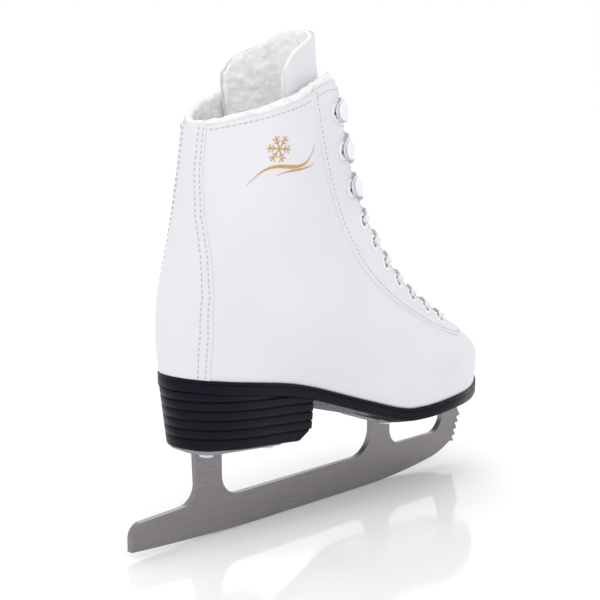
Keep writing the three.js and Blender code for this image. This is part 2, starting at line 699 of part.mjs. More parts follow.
// One half of the lace, from inside its lowest eyelet to its end.
function laceHalf(side) {
  const other = side === "lateral" ? "medial" : "lateral";
  const names = sides.lateral.map((_, i) => (i % 2 === 0 ? side : other));
  const rows = names.map((name, i) => sides[name][i]);
  return rows.flatMap((row, i) => {
    const hooked = i >= EYELET_ROWS;
    const last = i + 1 === rows.length;
    const held = hooked ? roundHook(row, last) : throughEyelet(row);
    if (last) return [...held, ...tuckedEnd(row)];
    const toHook = i + 1 >= EYELET_ROWS;
    const middle = LACE_MIDDLE[toHook ? "hook" : "eyelet"][names[i]];
    const fromDepth = hooked ? -LACE_HOOK_HEIGHT : -LACE_OVER;
    const toDepth = toHook ? -LACE_HOOK_HEIGHT : laceDepth;
    return [...held, ...overTongue(row, rows[i + 1], fromDepth, toDepth, middle)];
  });
}

// The lace: both halves and the bar that joins their lowest eyelets inside.
function laceBody() {
  const bar = overTongue(sides.lateral[0], sides.medial[0], laceDepth, laceDepth, [[0.5, laceDepth]]);
  const knots = [...laceHalf("lateral").toReversed(), ...bar, ...laceHalf("medial")];
  knots.slice(1).forEach(({ across }, i) => {
    if (across.dot(knots[i].across) < 0) across.negate();
  });
  const route = new THREE.CatmullRomCurve3(knots.map(({ place }) => place), false, "centripetal");
  const rings = [];
  knots.slice(1).forEach((next, i) => {
    const knot = knots[i];
    const count = Math.max(1, Math.round(knot.place.distanceTo(next.place) / LACE_STEP));
    for (let k = i === 0 ? 0 : 1; k <= count; k += 1) {
      const at = (i + k / count) / (knots.length - 1);
      const place = route.getPoint(at);
      const tangent = route.getTangent(at);
      const across = knot.across.clone().lerp(next.across, k / count);
      across.addScaledVector(tangent, -across.dot(tangent)).normalize();
      const width = THREE.MathUtils.lerp(knot.width, next.width, k / count) / 2;
      const flat = new THREE.Vector3().crossVectors(tangent, across).setLength(LACE_THICKNESS / 2);
      rings.push(
        [[1, 1], [-1, 1], [-1, -1], [1, -1]].map(([u, v]) =>
          place.clone().addScaledVector(across, u * width).addScaledVector(flat, v),
        ),
      );
    }
  });
  return lofted(rings);
}
add("lace", laceBody(), "lace");

// ---------------------------------------------------------------- sole, heel, inner sole

const soleRings = steps(0.1, Math.PI - 0.1, 28).map((angle) => {
  const outer = soleEdge(-angle, WELT);
  const inner = soleEdge(angle, WELT);
  const middle = (outer.y + inner.y) / 2;
  const flat = Math.max(0.35 * (inner.y - outer.y) / 2, (inner.y - outer.y) / 2 - BEVEL);
  const at = (x, y, z) => new THREE.Vector3(x, y, z);
  return [
    at(outer.x, outer.y, soleTop(outer.x)),
    at(inner.x, inner.y, soleTop(inner.x)),
    at(inner.x, inner.y, soleTop(inner.x) - SOLE_EDGE),
    at(inner.x, middle + flat, soleMiddle(inner.x)),
    at(outer.x, middle - flat, soleMiddle(outer.x)),
    at(outer.x, outer.y, soleTop(outer.x) - SOLE_EDGE),
  ];
});
function shankBar(grow) {
  const [low, high] = SHANK.x;
  const rings = steps(low - grow, high + grow, 12).map((x) => {
    const top = aboveSole(grow ? 2 : -GAP)(x);
    const bottom = aboveSole(-GAP - SHANK.thickness - grow)(x);
    const half = SHANK.half + grow;
    return [
      new THREE.Vector3(x, -2 - half, top),
      new THREE.Vector3(x, -2 + half, top),
      new THREE.Vector3(x, -2 + half, bottom),
      new THREE.Vector3(x, -2 - half, bottom),
    ];
  });
  return lofted(rings);
}

// Screw standing upwards through a plate, its head below; pose is at the plate's underside.
function screwBody(pose) {
  const shank = solid(cylinder(SCREW.shank, -0.2, SCREW.length, 8).applyMatrix4(pose));
  const head = cylinder(SCREW.head, -GAP - SCREW.headHeight, -GAP, 12);
  const neck = cylinder(SCREW.shank, -GAP - 0.2, 0.2, 8);
  return shank.add(solid(head.applyMatrix4(pose))).add(solid(neck.applyMatrix4(pose)));
}
const screwHole = (pose) => solid(cylinder(SCREW.shank + GAP, -1, SCREW.length + 1, 8).applyMatrix4(pose));

const solePlateBottom = FORE_SEAT_Z - GAP - PLATE_THICKNESS;
const solePoses = SOLE_SCREWS.flatMap(([x, y]) =>
  [-1, 1].map((side) => new THREE.Matrix4().makeTranslation(x, side * y, solePlateBottom)),
);
const heelFrame = new THREE.Matrix4().makeRotationY(HEEL_TILT).setPosition(HEEL_SEAT[0], 0, HEEL_SEAT[1]);
const heelPoses = HEEL_SCREWS.flatMap(([x, y]) =>
  [-1, 1].map((side) => {
    const inFrame = new THREE.Matrix4().makeTranslation(x, side * y, -GAP - PLATE_THICKNESS);
    return new THREE.Matrix4().multiplyMatrices(heelFrame, inFrame);
  }),
);

const outsole = cut(lofted(soleRings), shankBar(GAP), ...solePoses.map(screwHole));
add("outsole", outsole, "rubber");
add("steel_shank", shankBar(0), "steel");

add("insole_board", outlineSlab(-leatherDepth - 1, boardTop, aboveSole(2 * GAP)), "board");
const footbedTop = (x) => boardTop(x) + GAP + FOOTBED_THICKNESS;
const footbedInset = -liningDepth - FOOTBED_CLEARANCE;
add("footbed", outlineSlab(footbedInset, footbedTop, (x) => boardTop(x) + GAP), "fleece");

// Heel block: rings up the tilted heel, pulled in at each groove, cut off under the outsole.
const heelAngles = steps(-1.28, 1.28, 14);
function heelRing(height, inset) {
  const lean = Math.max(0, 1 - height / 38) * HEEL_BASE_INSET;
  const back = heelAngles.map((angle) => {
    const point = soleEdge(angle, WELT - lean - inset);
    return new THREE.Vector3(point.x - HEEL_SEAT[0], point.y, height);
  });
  return back.map((point) => point.applyMatrix4(heelFrame));
}
const heelRings = [heelRing(0, 0.8), heelRing(0.8, 0)];
for (let i = 0; i < HEEL_GROOVES; i += 1) {
  const height = HEEL_BOTTOM_LIFT + i * HEEL_LIFT;
  heelRings.push(heelRing(height - HEEL_GROOVE / 2, 0));
  heelRings.push(heelRing(height - HEEL_GROOVE / 4, HEEL_GROOVE));
  heelRings.push(heelRing(height + HEEL_GROOVE / 4, HEEL_GROOVE));
  heelRings.push(heelRing(height + HEEL_GROOVE / 2, 0));
}
heelRings.push(heelRing(HEEL_BLOCK_HEIGHT, 0));
const aboveHeel = new THREE.Shape();
const under = steps(-125, 0, 25).map((x) => new THREE.Vector2(x, soleTop(x) - SOLE_EDGE - GAP));
aboveHeel.setFromPoints([...under, new THREE.Vector2(0, 150), new THREE.Vector2(-125, 150)]);
const breast = new THREE.Shape();
breast.setFromPoints([
  new THREE.Vector2(HEEL_BREAST_X, 200),
  new THREE.Vector2(HEEL_BREAST_X, HEEL_SEAT[1] + HEEL_BREAST_CHAMFER[1] - 4),
  new THREE.Vector2(HEEL_BREAST_X - HEEL_BREAST_CHAMFER[0], HEEL_SEAT[1] - 5),
  new THREE.Vector2(HEEL_BREAST_X - HEEL_BREAST_CHAMFER[0], 0),
  new THREE.Vector2(60, 0),
  new THREE.Vector2(60, 200),
]);
const heelCutters = [sideways(aboveHeel, -80, 80), sideways(breast, -80, 80), ...heelPoses.map(screwHole)];
add("heel_block", cut(lofted(heelRings), ...heelCutters), "rubber");

// Waist cover: a crowned grey skin under the arch, between the heel and the front seat.
const coverRings = steps(...WAIST_COVER_X, 12).map((x) => {
  const share = (x - WAIST_COVER_X[0]) / (WAIST_COVER_X[1] - WAIST_COVER_X[0]);
  const depth = WAIST_COVER_DEPTH * (1 - 0.45 * share);
  const half = THREE.MathUtils.lerp(...WAIST_COVER_HALF, share);
  const top = soleMiddle(x) - GAP;
  const arc = steps(-1, 1, 8).map((across) => {
    const drop = 0.8 + depth * (1 - across ** 2);
    return new THREE.Vector3(x, -3 + half * across, top - drop);
  });
  const edge = [new THREE.Vector3(x, -3 + half, top), new THREE.Vector3(x, -3 - half, top)];
  return [...arc, ...edge];
});
add("waist_cover", lofted(coverRings), "grain");

// ---------------------------------------------------------------- blade, plates, screws

const solePlateOutline = () => {
  const [rear, front] = SOLE_PLATE.x;
  const [a, b, c] = SOLE_PLATE.half;
  const middle = rear + 0.45 * (front - rear);
  return rounded([
    [rear, -a, 9],
    [middle, -b, 30],
    [front, -c, 11],
    [front, c, 11],
    [middle, b, 30],
    [rear, a, 9],
  ]);
};
const solePlate = upright(solePlateOutline(), solePlateBottom, solePlateBottom + PLATE_THICKNESS);
add("sole_plate", cut(solePlate, ...solePoses.map(screwHole)), "steel");

const [heelRear, heelFront] = HEEL_PLATE.x;
const [heelHalfRear, heelHalfFront] = HEEL_PLATE.half;
const heelPlateShape = rounded([
  [heelRear, -heelHalfRear, 13],
  [heelFront, -heelHalfFront, 6],
  [heelFront, heelHalfFront, 6],
  [heelRear, heelHalfRear, 13],
]);
const heelPlateGeometry = new THREE.ExtrudeGeometry(heelPlateShape, { depth: PLATE_THICKNESS, bevelEnabled: false });
heelPlateGeometry.translate(0, 0, -GAP - PLATE_THICKNESS).applyMatrix4(heelFrame);
add("heel_plate", cut(solid(heelPlateGeometry), ...heelPoses.map(screwHole)), "steel");
solePoses.forEach((pose, i) => add(`sole_screw_${i + 1}`, screwBody(pose), "zinc"));
heelPoses.forEach((pose, i) => add(`heel_screw_${i + 1}`, screwBody(pose), "zinc"));

// Height of the blade's running edge: flat at the ice contact, then ever tighter curves.
function edgeZ(x) {
  if (x <= ICE_FLAT[0]) return (x - ICE_FLAT[0]) ** 2 / (2 * ROCKER_RADIUS);
  const spin = (at) => Math.max(0, at - ICE_FLAT[1]) ** 2 / (2 * SPIN_ROCKER_RADIUS);
  const slope = (TOE_CURVE.from - ICE_FLAT[1]) / SPIN_ROCKER_RADIUS;
  const beyond = Math.max(0, x - TOE_CURVE.from);
  return spin(Math.min(x, TOE_CURVE.from)) + slope * beyond + beyond ** 2 / (2 * TOE_CURVE.radius);
}

const heelPlateUnder = (x) => HEEL_SEAT[1] - (x - HEEL_SEAT[0]) * Math.tan(HEEL_TILT) - 2 * GAP - PLATE_THICKNESS;
const soleJoint = solePlateBottom - GAP;
const edge = [
  ...steps(TAIL_X, ICE_FLAT[0], 9),
  ...steps(ICE_FLAT[1], TOE_CURVE.from, 7),
  ...steps(TOE_CURVE.from + 4, TOE_CURVE.to, 5),
].map((x) => [x, edgeZ(x)]);
const picks = Array.from({ length: PICKS.count }, (_, i) => {
  const x = PICKS.x + i * PICKS.stepX;
  const z = PICKS.z + i * PICKS.stepZ;
  return [
    [x, z],
    [x + PICKS.notchX, z + PICKS.notchZ],
  ];
}).flat();
const bladeShape = rounded([
  ...edge,
  ...picks,
  [TOE_TOP_X + 1.5, 34.6],
  [TOE_TOP_X, soleJoint],
  [TOE_CUTOUT_END + 4, soleJoint],
  [TOE_CUTOUT_END - 1, 21.2, 12],
  [FRONT_POST[1], 21.2, 11],
  [FRONT_POST[1] - 0.8, soleJoint],
  [FRONT_POST[0], soleJoint],
  [FRONT_POST[0], RUNNER_TOP, 16],
  [REAR_POST[1], RUNNER_TOP, 13],
  [REAR_POST[1], heelPlateUnder(REAR_POST[1])],
  [REAR_POST[0] - 0.8, heelPlateUnder(REAR_POST[0])],
  [REAR_POST[0] + 0.6, RUNNER_TOP + 1, 11],
  [TAIL_X, RUNNER_TOP - 1.2, 8],
]);
add("blade", sideways(bladeShape, -BLADE_THICKNESS / 2, BLADE_THICKNESS / 2), "steel");

export default root;
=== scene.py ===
# White leather figure skate for the right foot, on a pale studio floor. Lengths are worked
# out in millimetres and written to the meshes in metres, +X to the toe, +Y to the inner side.
import math

import bpy
import numpy as np
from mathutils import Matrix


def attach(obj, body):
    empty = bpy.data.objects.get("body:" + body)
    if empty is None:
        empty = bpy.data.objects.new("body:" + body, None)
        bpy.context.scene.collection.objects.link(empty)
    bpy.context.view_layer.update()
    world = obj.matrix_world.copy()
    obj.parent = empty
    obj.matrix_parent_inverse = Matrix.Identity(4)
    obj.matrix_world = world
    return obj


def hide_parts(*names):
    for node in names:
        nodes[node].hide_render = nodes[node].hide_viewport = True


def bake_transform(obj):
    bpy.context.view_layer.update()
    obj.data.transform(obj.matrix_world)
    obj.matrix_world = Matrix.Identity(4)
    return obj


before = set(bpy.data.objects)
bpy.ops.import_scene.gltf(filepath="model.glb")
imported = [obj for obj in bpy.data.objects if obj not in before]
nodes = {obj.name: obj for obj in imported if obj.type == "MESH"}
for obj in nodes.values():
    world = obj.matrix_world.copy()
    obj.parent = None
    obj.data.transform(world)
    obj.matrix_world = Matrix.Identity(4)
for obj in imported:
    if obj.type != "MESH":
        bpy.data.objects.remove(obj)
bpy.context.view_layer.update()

# ------------------------------------------------------------------ floor, light and camera
# A plain pale floor with a faint gloss, a bright even room, and three broad soft lamps.
# The camera stands low behind the outer side of the heel and looks a little down.


class Value:
    """A shader socket with Python's arithmetic: each operation adds its Math node."""

    def __init__(self, look, socket):
        self.look, self.socket = look, socket

    def _math(self, operation, a, b):
        return self.look.node("ShaderNodeMath", {"operation": operation}, {0: a, 1: b})

    def __add__(self, other):
        return self._math("ADD", self, other)

    __radd__ = __add__

    def __mul__(self, other):
        return self._math("MULTIPLY", self, other)

    __rmul__ = __mul__

    def __sub__(self, other):
        return self._math("SUBTRACT", self, other)

    def __rsub__(self, other):
        return self._math("SUBTRACT", other, self)

    def wave(self):
        return self.look.node("ShaderNodeMath", {"operation": "SINE"}, {0: self})


class Look:
    """A material on the Principled shader, with constants set on its sockets."""

    def __init__(self, name, color, roughness, constants=None):
        self.material = bpy.data.materials.new(name)
        self.material.use_nodes = True
        self.tree = self.material.node_tree
        self.shader = self.tree.nodes["Principled BSDF"]
        self.material.diffuse_color = (*color, 1)
        self.shader.inputs["Base Color"].default_value = (*color, 1)
        self.shader.inputs["Roughness"].default_value = roughness
        for key, value in (constants or {}).items():
            self.shader.inputs[key].default_value = value

    def node(self, kind, settings=None, inputs=None, output=0):
        made = self.tree.nodes.new(kind)
        for key, value in (settings or {}).items():
            if key == "stops":
                ramp = made.color_ramp.elements
                for i, (at, color) in enumerate(value):
                    stop = ramp[i] if i < 2 else ramp.new(at)
                    stop.position, stop.color = at, (*color, 1)
            else:
                setattr(made, key, value)
        for key, value in (inputs or {}).items():
            if isinstance(value, Value):
                self.tree.links.new(value.socket, made.inputs[key])
            else:
                made.inputs[key].default_value = value
        return Value(self, made.outputs[output])

    def place(self, scale=(1, 1, 1), turn=(0, 0, 0), kind="Object"):
        """Object coordinates in millimetres, or the UV map, stretched and turned."""
        at = self.node("ShaderNodeTexCoord", output=kind)
        size = tuple((1000 if kind == "Object" else 1) * part for part in scale)
        return self.node("ShaderNodeMapping", {}, {"Vector": at, "Scale": size, "Rotation": turn})

    def noise(self, place, size, detail=3.0, rough=0.55):
        inputs = {"Vector": place, "Scale": 1 / size, "Detail": detail, "Roughness": rough}
        return self.node("ShaderNodeTexNoise", {}, inputs)

    def cells(self, place, size, feature="F1", output=0, jitter=1.0):
        settings = {"feature": feature}
        inputs = {"Vector": place, "Scale": 1 / size, "Randomness": jitter}
        return self.node("ShaderNodeTexVoronoi", settings, inputs, output)

    def spread(self, value, low, high, to_low=0.0, to_high=1.0):
        inputs = {"Value": value, "From Min": low, "From Max": high, "To Min": to_low, "To Max": to_high}
        return self.node("ShaderNodeMapRange", {"clamp": True}, inputs)

    def mix(self, factor, first, second):
        inputs = {"Factor": factor, 6: (*first, 1) if isinstance(first, tuple) else first}
        inputs[7] = (*second, 1) if isinstance(second, tuple) else second
        return self.node("ShaderNodeMix", {"data_type": "RGBA"}, inputs, 2)

    def feed(self, socket, value):
        self.tree.links.new(value.socket, self.shader.inputs[socket])

    def tint(self, value, low, high, first, second):
        """Base Color from the first to the second as the value goes from low to high."""
        self.feed("Base Color", self.mix(self.spread(value, low, high), first, second))

    def polish(self, value, first, second):
        """Roughness from the first to the second over the middle of the value's range."""
        self.feed("Roughness", self.spread(value, 0.3, 0.7, first, second))

    def bump(self, height, depth_mm, strength=1.0):
        inputs = {"Height": height, "Distance": depth_mm / 1000, "Strength": strength}
        self.feed("Normal", self.node("ShaderNodeBump", {}, inputs))


def mesh_piece(name, points, faces, look, smooth=True, uv=None):
    """One object of a list of points in millimetres and faces, its place in its mesh."""
    mesh = bpy.data.meshes.new(name)
    mesh.from_pydata((np.asarray(points, float) / 1000).tolist(), [], np.asarray(faces).tolist())
    if uv is not None:
        layer = mesh.uv_layers.new(name="UVMap")
        corners = np.empty(len(mesh.loops), dtype=np.int32)
        mesh.loops.foreach_get("vertex_index", corners)
        layer.data.foreach_set("uv", np.asarray(uv, dtype=np.float32)[corners].ravel())
    mesh.materials.append(look.material)
    mesh.polygons.foreach_set("use_smooth", [smooth] * len(mesh.polygons))
    piece = bpy.data.objects.new(name, mesh)
    bpy.context.scene.collection.objects.link(piece)
    return piece


def grid_faces(rows, columns, close_columns=False, start=0):
    """Four-cornered faces of a grid of rows x columns points, the columns in a ring if closed."""
    i = np.arange(rows - 1)
    j = np.arange(columns if close_columns else columns - 1)
    i, j = (part.ravel() for part in np.meshgrid(i, j, indexing="ij"))
    down, right = (i + 1) % rows, (j + 1) % columns
    return start + np.stack(
        [i * columns + j, down * columns + j, down * columns + right, i * columns + right], axis=1
    )


def sheet(name, points, look, flip=False, close_columns=False, uv=None):
    """A mesh piece from a grid of points (rows, columns, 3)."""
    faces = grid_faces(*points.shape[:2], close_columns=close_columns)
    return mesh_piece(name, points.reshape(-1, 3), faces[:, ::-1] if flip else faces, look, uv=uv)


def with_modifier(piece, kind, **settings):
    made = piece.modifiers.new(kind.title(), kind)
    for key, value in settings.items():
        setattr(made, key, value)
    return made


def join_doubles(piece, reach_mm=0.02, outward=False):
    """Merges points that share a place, and turns the faces outwards where asked."""
    import bmesh

    made = bmesh.new()
    made.from_mesh(piece.data)
    bmesh.ops.remove_doubles(made, verts=made.verts, dist=reach_mm / 1000)
    if outward:
        bmesh.ops.recalc_face_normals(made, faces=made.faces)
    made.to_mesh(piece.data)
    made.free()
    return piece


floor_look = Look(
    "pale_floor",
    (0.93, 0.93, 0.94),
    0.07,
    {"Specular IOR Level": 0.5, "Emission Color": (1, 1, 1, 1), "Emission Strength": 0.1},
)
at = floor_look.place()
floor_look.polish(floor_look.noise(at, 900, 1), 0.06, 0.08)
FLOOR_REACH = 6000
floor = mesh_piece(
    "studio_floor",
    [
        (-FLOOR_REACH, -FLOOR_REACH, -0.4),
        (FLOOR_REACH, -FLOOR_REACH, -0.4),
        (FLOOR_REACH, FLOOR_REACH, -0.4),
        (-FLOOR_REACH, FLOOR_REACH, -0.4),
    ],
    [(0, 1, 2, 3)],
    floor_look,
)

world = bpy.data.worlds.new("studio")
bpy.context.scene.world = world
world.use_nodes = True
world.node_tree.nodes["Background"].inputs["Color"].default_value = (1.0, 1.0, 1.0, 1)
world.node_tree.nodes["Background"].inputs["Strength"].default_value = 1.0
bpy.context.scene.view_settings.view_transform = "Standard"


def lamp(name, place, aim, size, power, color=(1, 1, 1)):
    """A square soft lamp at a place, turned to face a point, in metres."""
    from mathutils import Vector

    light = bpy.data.lights.new(name, "AREA")
    light.shape, light.size, light.energy, light.color = "SQUARE", size, power, color
    made = bpy.data.objects.new(name, light)
    made.location = place
    made.rotation_euler = (Vector(aim) - Vector(place)).to_track_quat("-Z", "Y").to_euler()
    bpy.context.scene.collection.objects.link(made)


lamp("key_above_heel", (-0.9, -0.35, 1.15), (0, 0, 0.14), 0.9, 2.4)
lamp("side_fill", (0.25, -1.35, 0.7), (0.02, 0, 0.1), 1.0, 0.4, (0.96, 0.98, 1))
lamp("rim_far_side", (0.7, 0.9, 0.9), (0, 0, 0.15), 0.8, 2.2)

CAMERA_AZIMUTH, CAMERA_RISE = math.radians(-44.56), math.radians(9.86)
CAMERA_DISTANCE, CAMERA_AIM = 0.77414, np.array([-0.00437, 0.0, 0.12557])
camera = bpy.data.objects.new("camera", bpy.data.cameras.new("camera"))
back = np.array(
    [
        math.sin(CAMERA_AZIMUTH) * math.cos(CAMERA_RISE),
        -math.cos(CAMERA_AZIMUTH) * math.cos(CAMERA_RISE),
        math.sin(CAMERA_RISE),
    ]
)
camera.location = CAMERA_AIM + back * CAMERA_DISTANCE
camera.rotation_euler = (math.pi / 2 - CAMERA_RISE, 0, CAMERA_AZIMUTH)
camera.data.sensor_width = 36
camera.data.lens = 79.0
bpy.context.scene.collection.objects.link(camera)
bpy.context.scene.camera = camera

# ------------------------------------------------------------------ quarters and vamp
# The coated leather shell of the boot, drawn over the last and cemented under the insole
# board. It is open along the throat, under the facing.

# The boot's shape: loops from a back point to a front point (x, z), with half widths and
# sideways shifts at the back, counter, waist, ball and front. Then the feather line.
LEVEL_BACK = np.array(
    [
        [-104, 96.3],
        [-105.8, 106],
        [-106.5, 115],
        [-106, 125],
        [-104, 138],
        [-100, 155],
        [-94.5, 180],
        [-86, 230],
        [-80, 262],
    ]
)
LEVEL_FRONT = np.array(
    [
        [155, 58.5],
        [155.5, 78],
        [134, 93.5],
        [105, 109],
        [74, 131],
        [48.5, 160],
        [28, 193],
        [9.5, 257],
        [6, 290],
    ]
)
LEVEL_HALF = np.array(
    [
        [52, 32.7, 32.3, 47.6, 47],
        [50, 36, 34, 48.5, 46],
        [48, 38, 34.5, 41, 45],
        [46, 39.5, 36, 37, 45],
        [43, 41, 37, 36, 44],
        [37, 40.5, 38, 35, 43],
        [31, 39, 38, 33.5, 44],
        [29, 35.5, 36, 32.5, 44],
        [28, 35, 36, 32.5, 43],
    ]
)
LEVEL_SHIFT = np.array(
    [
        [0, 0, -4, -1.8, 7],
        [0, 0, -4, -1.5, 6],
        [0, 0, -3, -1, 4],
        [0, 0, -2, -0.5, 2],
        [0, 0, -1, 0, 1],
        [0, 0, 0, 0, 0],
        [0, 0, 0, 0, 0],
        [0, 0, 0, 0, 0],
        [0, 0, 0, 0, 0],
    ]
)
COLLAR_LEVEL = 7
ARCH_FADE_LEVEL = 3
FEATHER = np.array(
    [
        [-112, 97.6],
        [-61, 89.8],
        [-28, 82.7],
        [14, 68.2],
        [43.5, 58.6],
        [60, 57.4],
        [90, 59.2],
        [125, 58.3],
        [165, 58.8],
    ]
)
LEATHER_THICKNESS = 1.6


def eased(values, t):
    """Catmull-Rom value at t along the first axis of values, straight on at both ends."""
    last = len(values) - 1
    t = np.asarray(t, float)
    i = np.clip(np.floor(t), 0, last - 1).astype(int)
    w = t - i
    pick = lambda k: np.take_along_axis(values, k[None], 0)[0] if values.ndim > 1 else values[k]
    b, c = pick(i), pick(i + 1)
    a = np.where(i > 0, pick(np.maximum(i - 1, 0)), 2 * b - c)
    d = np.where(i + 2 <= last, pick(np.minimum(i + 2, last)), 2 * c - b)
    return b + 0.5 * w * (c - a + w * (2 * a - 5 * b + 4 * c - d + w * (3 * b - a - 3 * c + d)))


def curve_through(points, count):
    """Points evenly stepped along a Catmull-Rom curve through points, ends doubled."""
    p = np.vstack([points[:1], points, points[-1:]]).astype(float)
    t = np.linspace(0, len(points) - 1, count)
    i = np.minimum(t.astype(int), len(points) - 2)
    w = (t - i)[:, None]
    a, b, c, d = p[i], p[i + 1], p[i + 2], p[i + 3]
    return b + 0.5 * w * (c - a + w * (2 * a - 5 * b + 4 * c - d + w * (3 * b - a - 3 * c + d)))


feather_line = curve_through(FEATHER, 160)


def feather_z(x):
    return np.interp(x, feather_line[:, 0], feather_line[:, 1])


def boot_face(angle, level):
    """Outer face of the boot: x and z run from a level's back to its front as half of one
    less the cosine of the angle, and y is the half width there times the sine."""
    angle, level = np.broadcast_arrays(np.asarray(angle, float), np.asarray(level, float))
    share = (1 - np.cos(angle)) / 2
    x0, z0 = eased(LEVEL_BACK[:, 0], level), eased(LEVEL_BACK[:, 1], level)
    x1, z1 = eased(LEVEL_FRONT[:, 0], level), eased(LEVEL_FRONT[:, 1], level)
    x = x0 + (x1 - x0) * share
    along_first = (x - LEVEL_BACK[0, 0]) / (LEVEL_FRONT[0, 0] - LEVEL_BACK[0, 0])
    first_chord = LEVEL_BACK[0, 1] + (LEVEL_FRONT[0, 1] - LEVEL_BACK[0, 1]) * along_first
    fade = np.maximum(0, 1 - level / ARCH_FADE_LEVEL) ** 2
    z = z0 + (z1 - z0) * share + fade * (feather_z(x) - first_chord)
    halves = np.stack([eased(LEVEL_HALF[:, k], level) for k in range(5)])
    shifts = np.stack([eased(LEVEL_SHIFT[:, k].astype(float), level) for k in range(5)])
    y = eased(shifts, share * 4) + eased(halves, share * 4) * np.sin(angle)
    return np.stack([x, y, z], axis=-1)


def unit(vectors):
    return vectors / np.maximum(np.linalg.norm(vectors, axis=-1, keepdims=True), 1e-9)


def boot_normal(angle, level):
    """Outward unit normal: the cross product of the face's slopes up and round."""
    step = 0.02
    level = np.asarray(level, float)
    round_slope = boot_face(angle + step, level) - boot_face(angle - step, level)
    rise_slope = boot_face(angle, level + step) - boot_face(angle, np.maximum(0, level - step))
    return unit(np.cross(rise_slope, round_slope))


def on_boot(angle, level, height=0.0):
    """The boot's face moved out along its normal by a height in millimetres."""
    height = np.asarray(height, float)[..., None]
    return boot_face(angle, level) + boot_normal(angle, level) * height


# The throat in plan (x, half width), its rounded end, and the facing's seam in side view.
THROAT = np.array([[-30, 21.5], [20, 21.5], [55, 18], [100, 13]])
THROAT_END = 119
FACING_SEAM = np.array(
    [
        [-36, 275],
        [-28, 250],
        [-18.5, 214],
        [-10, 190],
        [0.5, 167],
        [14, 147.5],
        [34, 130],
        [57, 115],
        [80, 103],
        [97, 96],
        [112, 91.8],
        [124, 91.5],
        [131, 94.5],
    ]
)
level_table = np.linspace(0.5, 8, 900)


def first_crossing(table, wanted):
    """Position in level_table where each row of a rising table first passes its value."""
    over = table > wanted[:, None]
    k = np.clip(np.argmax(over, axis=1), 1, table.shape[1] - 1)
    rows = np.arange(len(wanted))
    low, high = table[rows, k - 1], table[rows, k]
    share = np.clip((wanted - low) / np.maximum(high - low, 1e-9), 0, 1)
    return level_table[k - 1] + share * (level_table[k] - level_table[k - 1])


def share_at(x, level):
    x0, x1 = eased(LEVEL_BACK[:, 0], level), eased(LEVEL_FRONT[:, 0], level)
    return np.clip((x - x0) / (x1 - x0), 0, 1)


def from_side_view(line):
    """Angles from the front, and levels, of a line given in side view (x, z)."""
    x = np.repeat(line[:, :1], len(level_table), 1)
    angles = np.arccos(1 - 2 * share_at(x, level_table[None].repeat(len(line), 0)))
    heights = boot_face(angles, level_table[None])[..., 2]
    level = first_crossing(heights, line[:, 1])
    return math.pi - np.arccos(1 - 2 * share_at(line[:, 0], level)), level


def from_plan(line, side):
    """Angles from the front, and levels, of a line given in plan (x, distance sideways).
    Where it passes over the boot's front line it ends there."""
    x = np.repeat(line[:, :1], len(level_table), 1)
    levels = level_table[None].repeat(len(line), 0)
    angles = side * np.arccos(1 - 2 * share_at(x, levels))
    sideways = -side * boot_face(angles, levels)[..., 1]
    level = first_crossing(np.maximum.accumulate(sideways, 1), -line[:, 1])
    lowest = np.minimum.accumulate(level)
    offset = math.pi - np.arccos(1 - 2 * share_at(line[:, 0], lowest))
    return np.minimum.accumulate(np.where(level > lowest + 0.02, 0.0, offset)), lowest


def below_collar(offset, level, count):
    """A (front offset, level) line cut off at the collar, evenly stepped on the boot."""
    keep = level <= COLLAR_LEVEL
    line = np.stack([offset[keep], level[keep]], axis=1)
    first = np.array([[np.interp(-COLLAR_LEVEL, -level, offset), COLLAR_LEVEL]])
    line = np.vstack([first, line])
    space = on_boot(math.pi - line[:, 0], line[:, 1])
    run = np.concatenate([[0], np.cumsum(np.linalg.norm(np.diff(space, axis=0), axis=1))])
    at = np.linspace(0, run[-1], count)
    return np.stack([np.interp(at, run, line[:, k]) for k in range(2)], axis=1)


SEAM_STEPS = 150
seam_offset, seam_level = from_side_view(curve_through(FACING_SEAM, 400))
seam_offset[-1] = 0
facing_outer = below_collar(seam_offset, seam_level, SEAM_STEPS)
nose_half = THROAT[-1, 1]
nose_turn = np.linspace(math.pi / 2, 0, 60)[1:]
throat_x = np.linspace(2.5, THROAT_END - nose_half, 160)
throat_side = np.stack([throat_x, np.interp(throat_x, *THROAT.T)], axis=1)
throat_nose = np.stack(
    [THROAT_END - nose_half + nose_half * np.cos(nose_turn), nose_half * np.sin(nose_turn)], axis=1
)
throat_plan = np.vstack([throat_side, throat_nose])
facing_inner = {side: below_collar(*from_plan(throat_plan, side), SEAM_STEPS) for side in (-1, 1)}

leather = Look(
    "coated_white_leather",
    (0.78, 0.775, 0.82),
    0.4,
    {"Specular IOR Level": 0.45, "Coat Weight": 0.12, "Coat Roughness": 0.3},
)
at = leather.place()
grain = leather.cells(at, 0.9, "DISTANCE_TO_EDGE")
creases = leather.noise(at, 14, 4)
pores = leather.noise(at, 0.35, 2)
tone = leather.noise(at, 70, 2)
leather.tint(tone, 0.35, 0.65, (0.765, 0.76, 0.80), (0.80, 0.795, 0.835))
leather.polish(creases, 0.36, 0.47)
leather.bump(leather.spread(grain, 0, 0.3) * 0.5 + pores * 0.35 + creases * 0.5, 0.09, 0.55)

ROUND_STEPS, RISE_STEPS = 240, 130
OPEN_FROM, OPEN_OVER, EDGE_UNDER_FACING = 2.34, 0.25, 0.05


def shell_edge(level, side):
    """Angle from the front where the leather ends under the facing, nothing below it."""
    line = facing_inner[side][::-1]
    inner = np.interp(level, np.maximum.accumulate(line[:, 1]), line[:, 0])
    return (inner + EDGE_UNDER_FACING) * np.clip((level - OPEN_FROM) / OPEN_OVER, 0, 1)


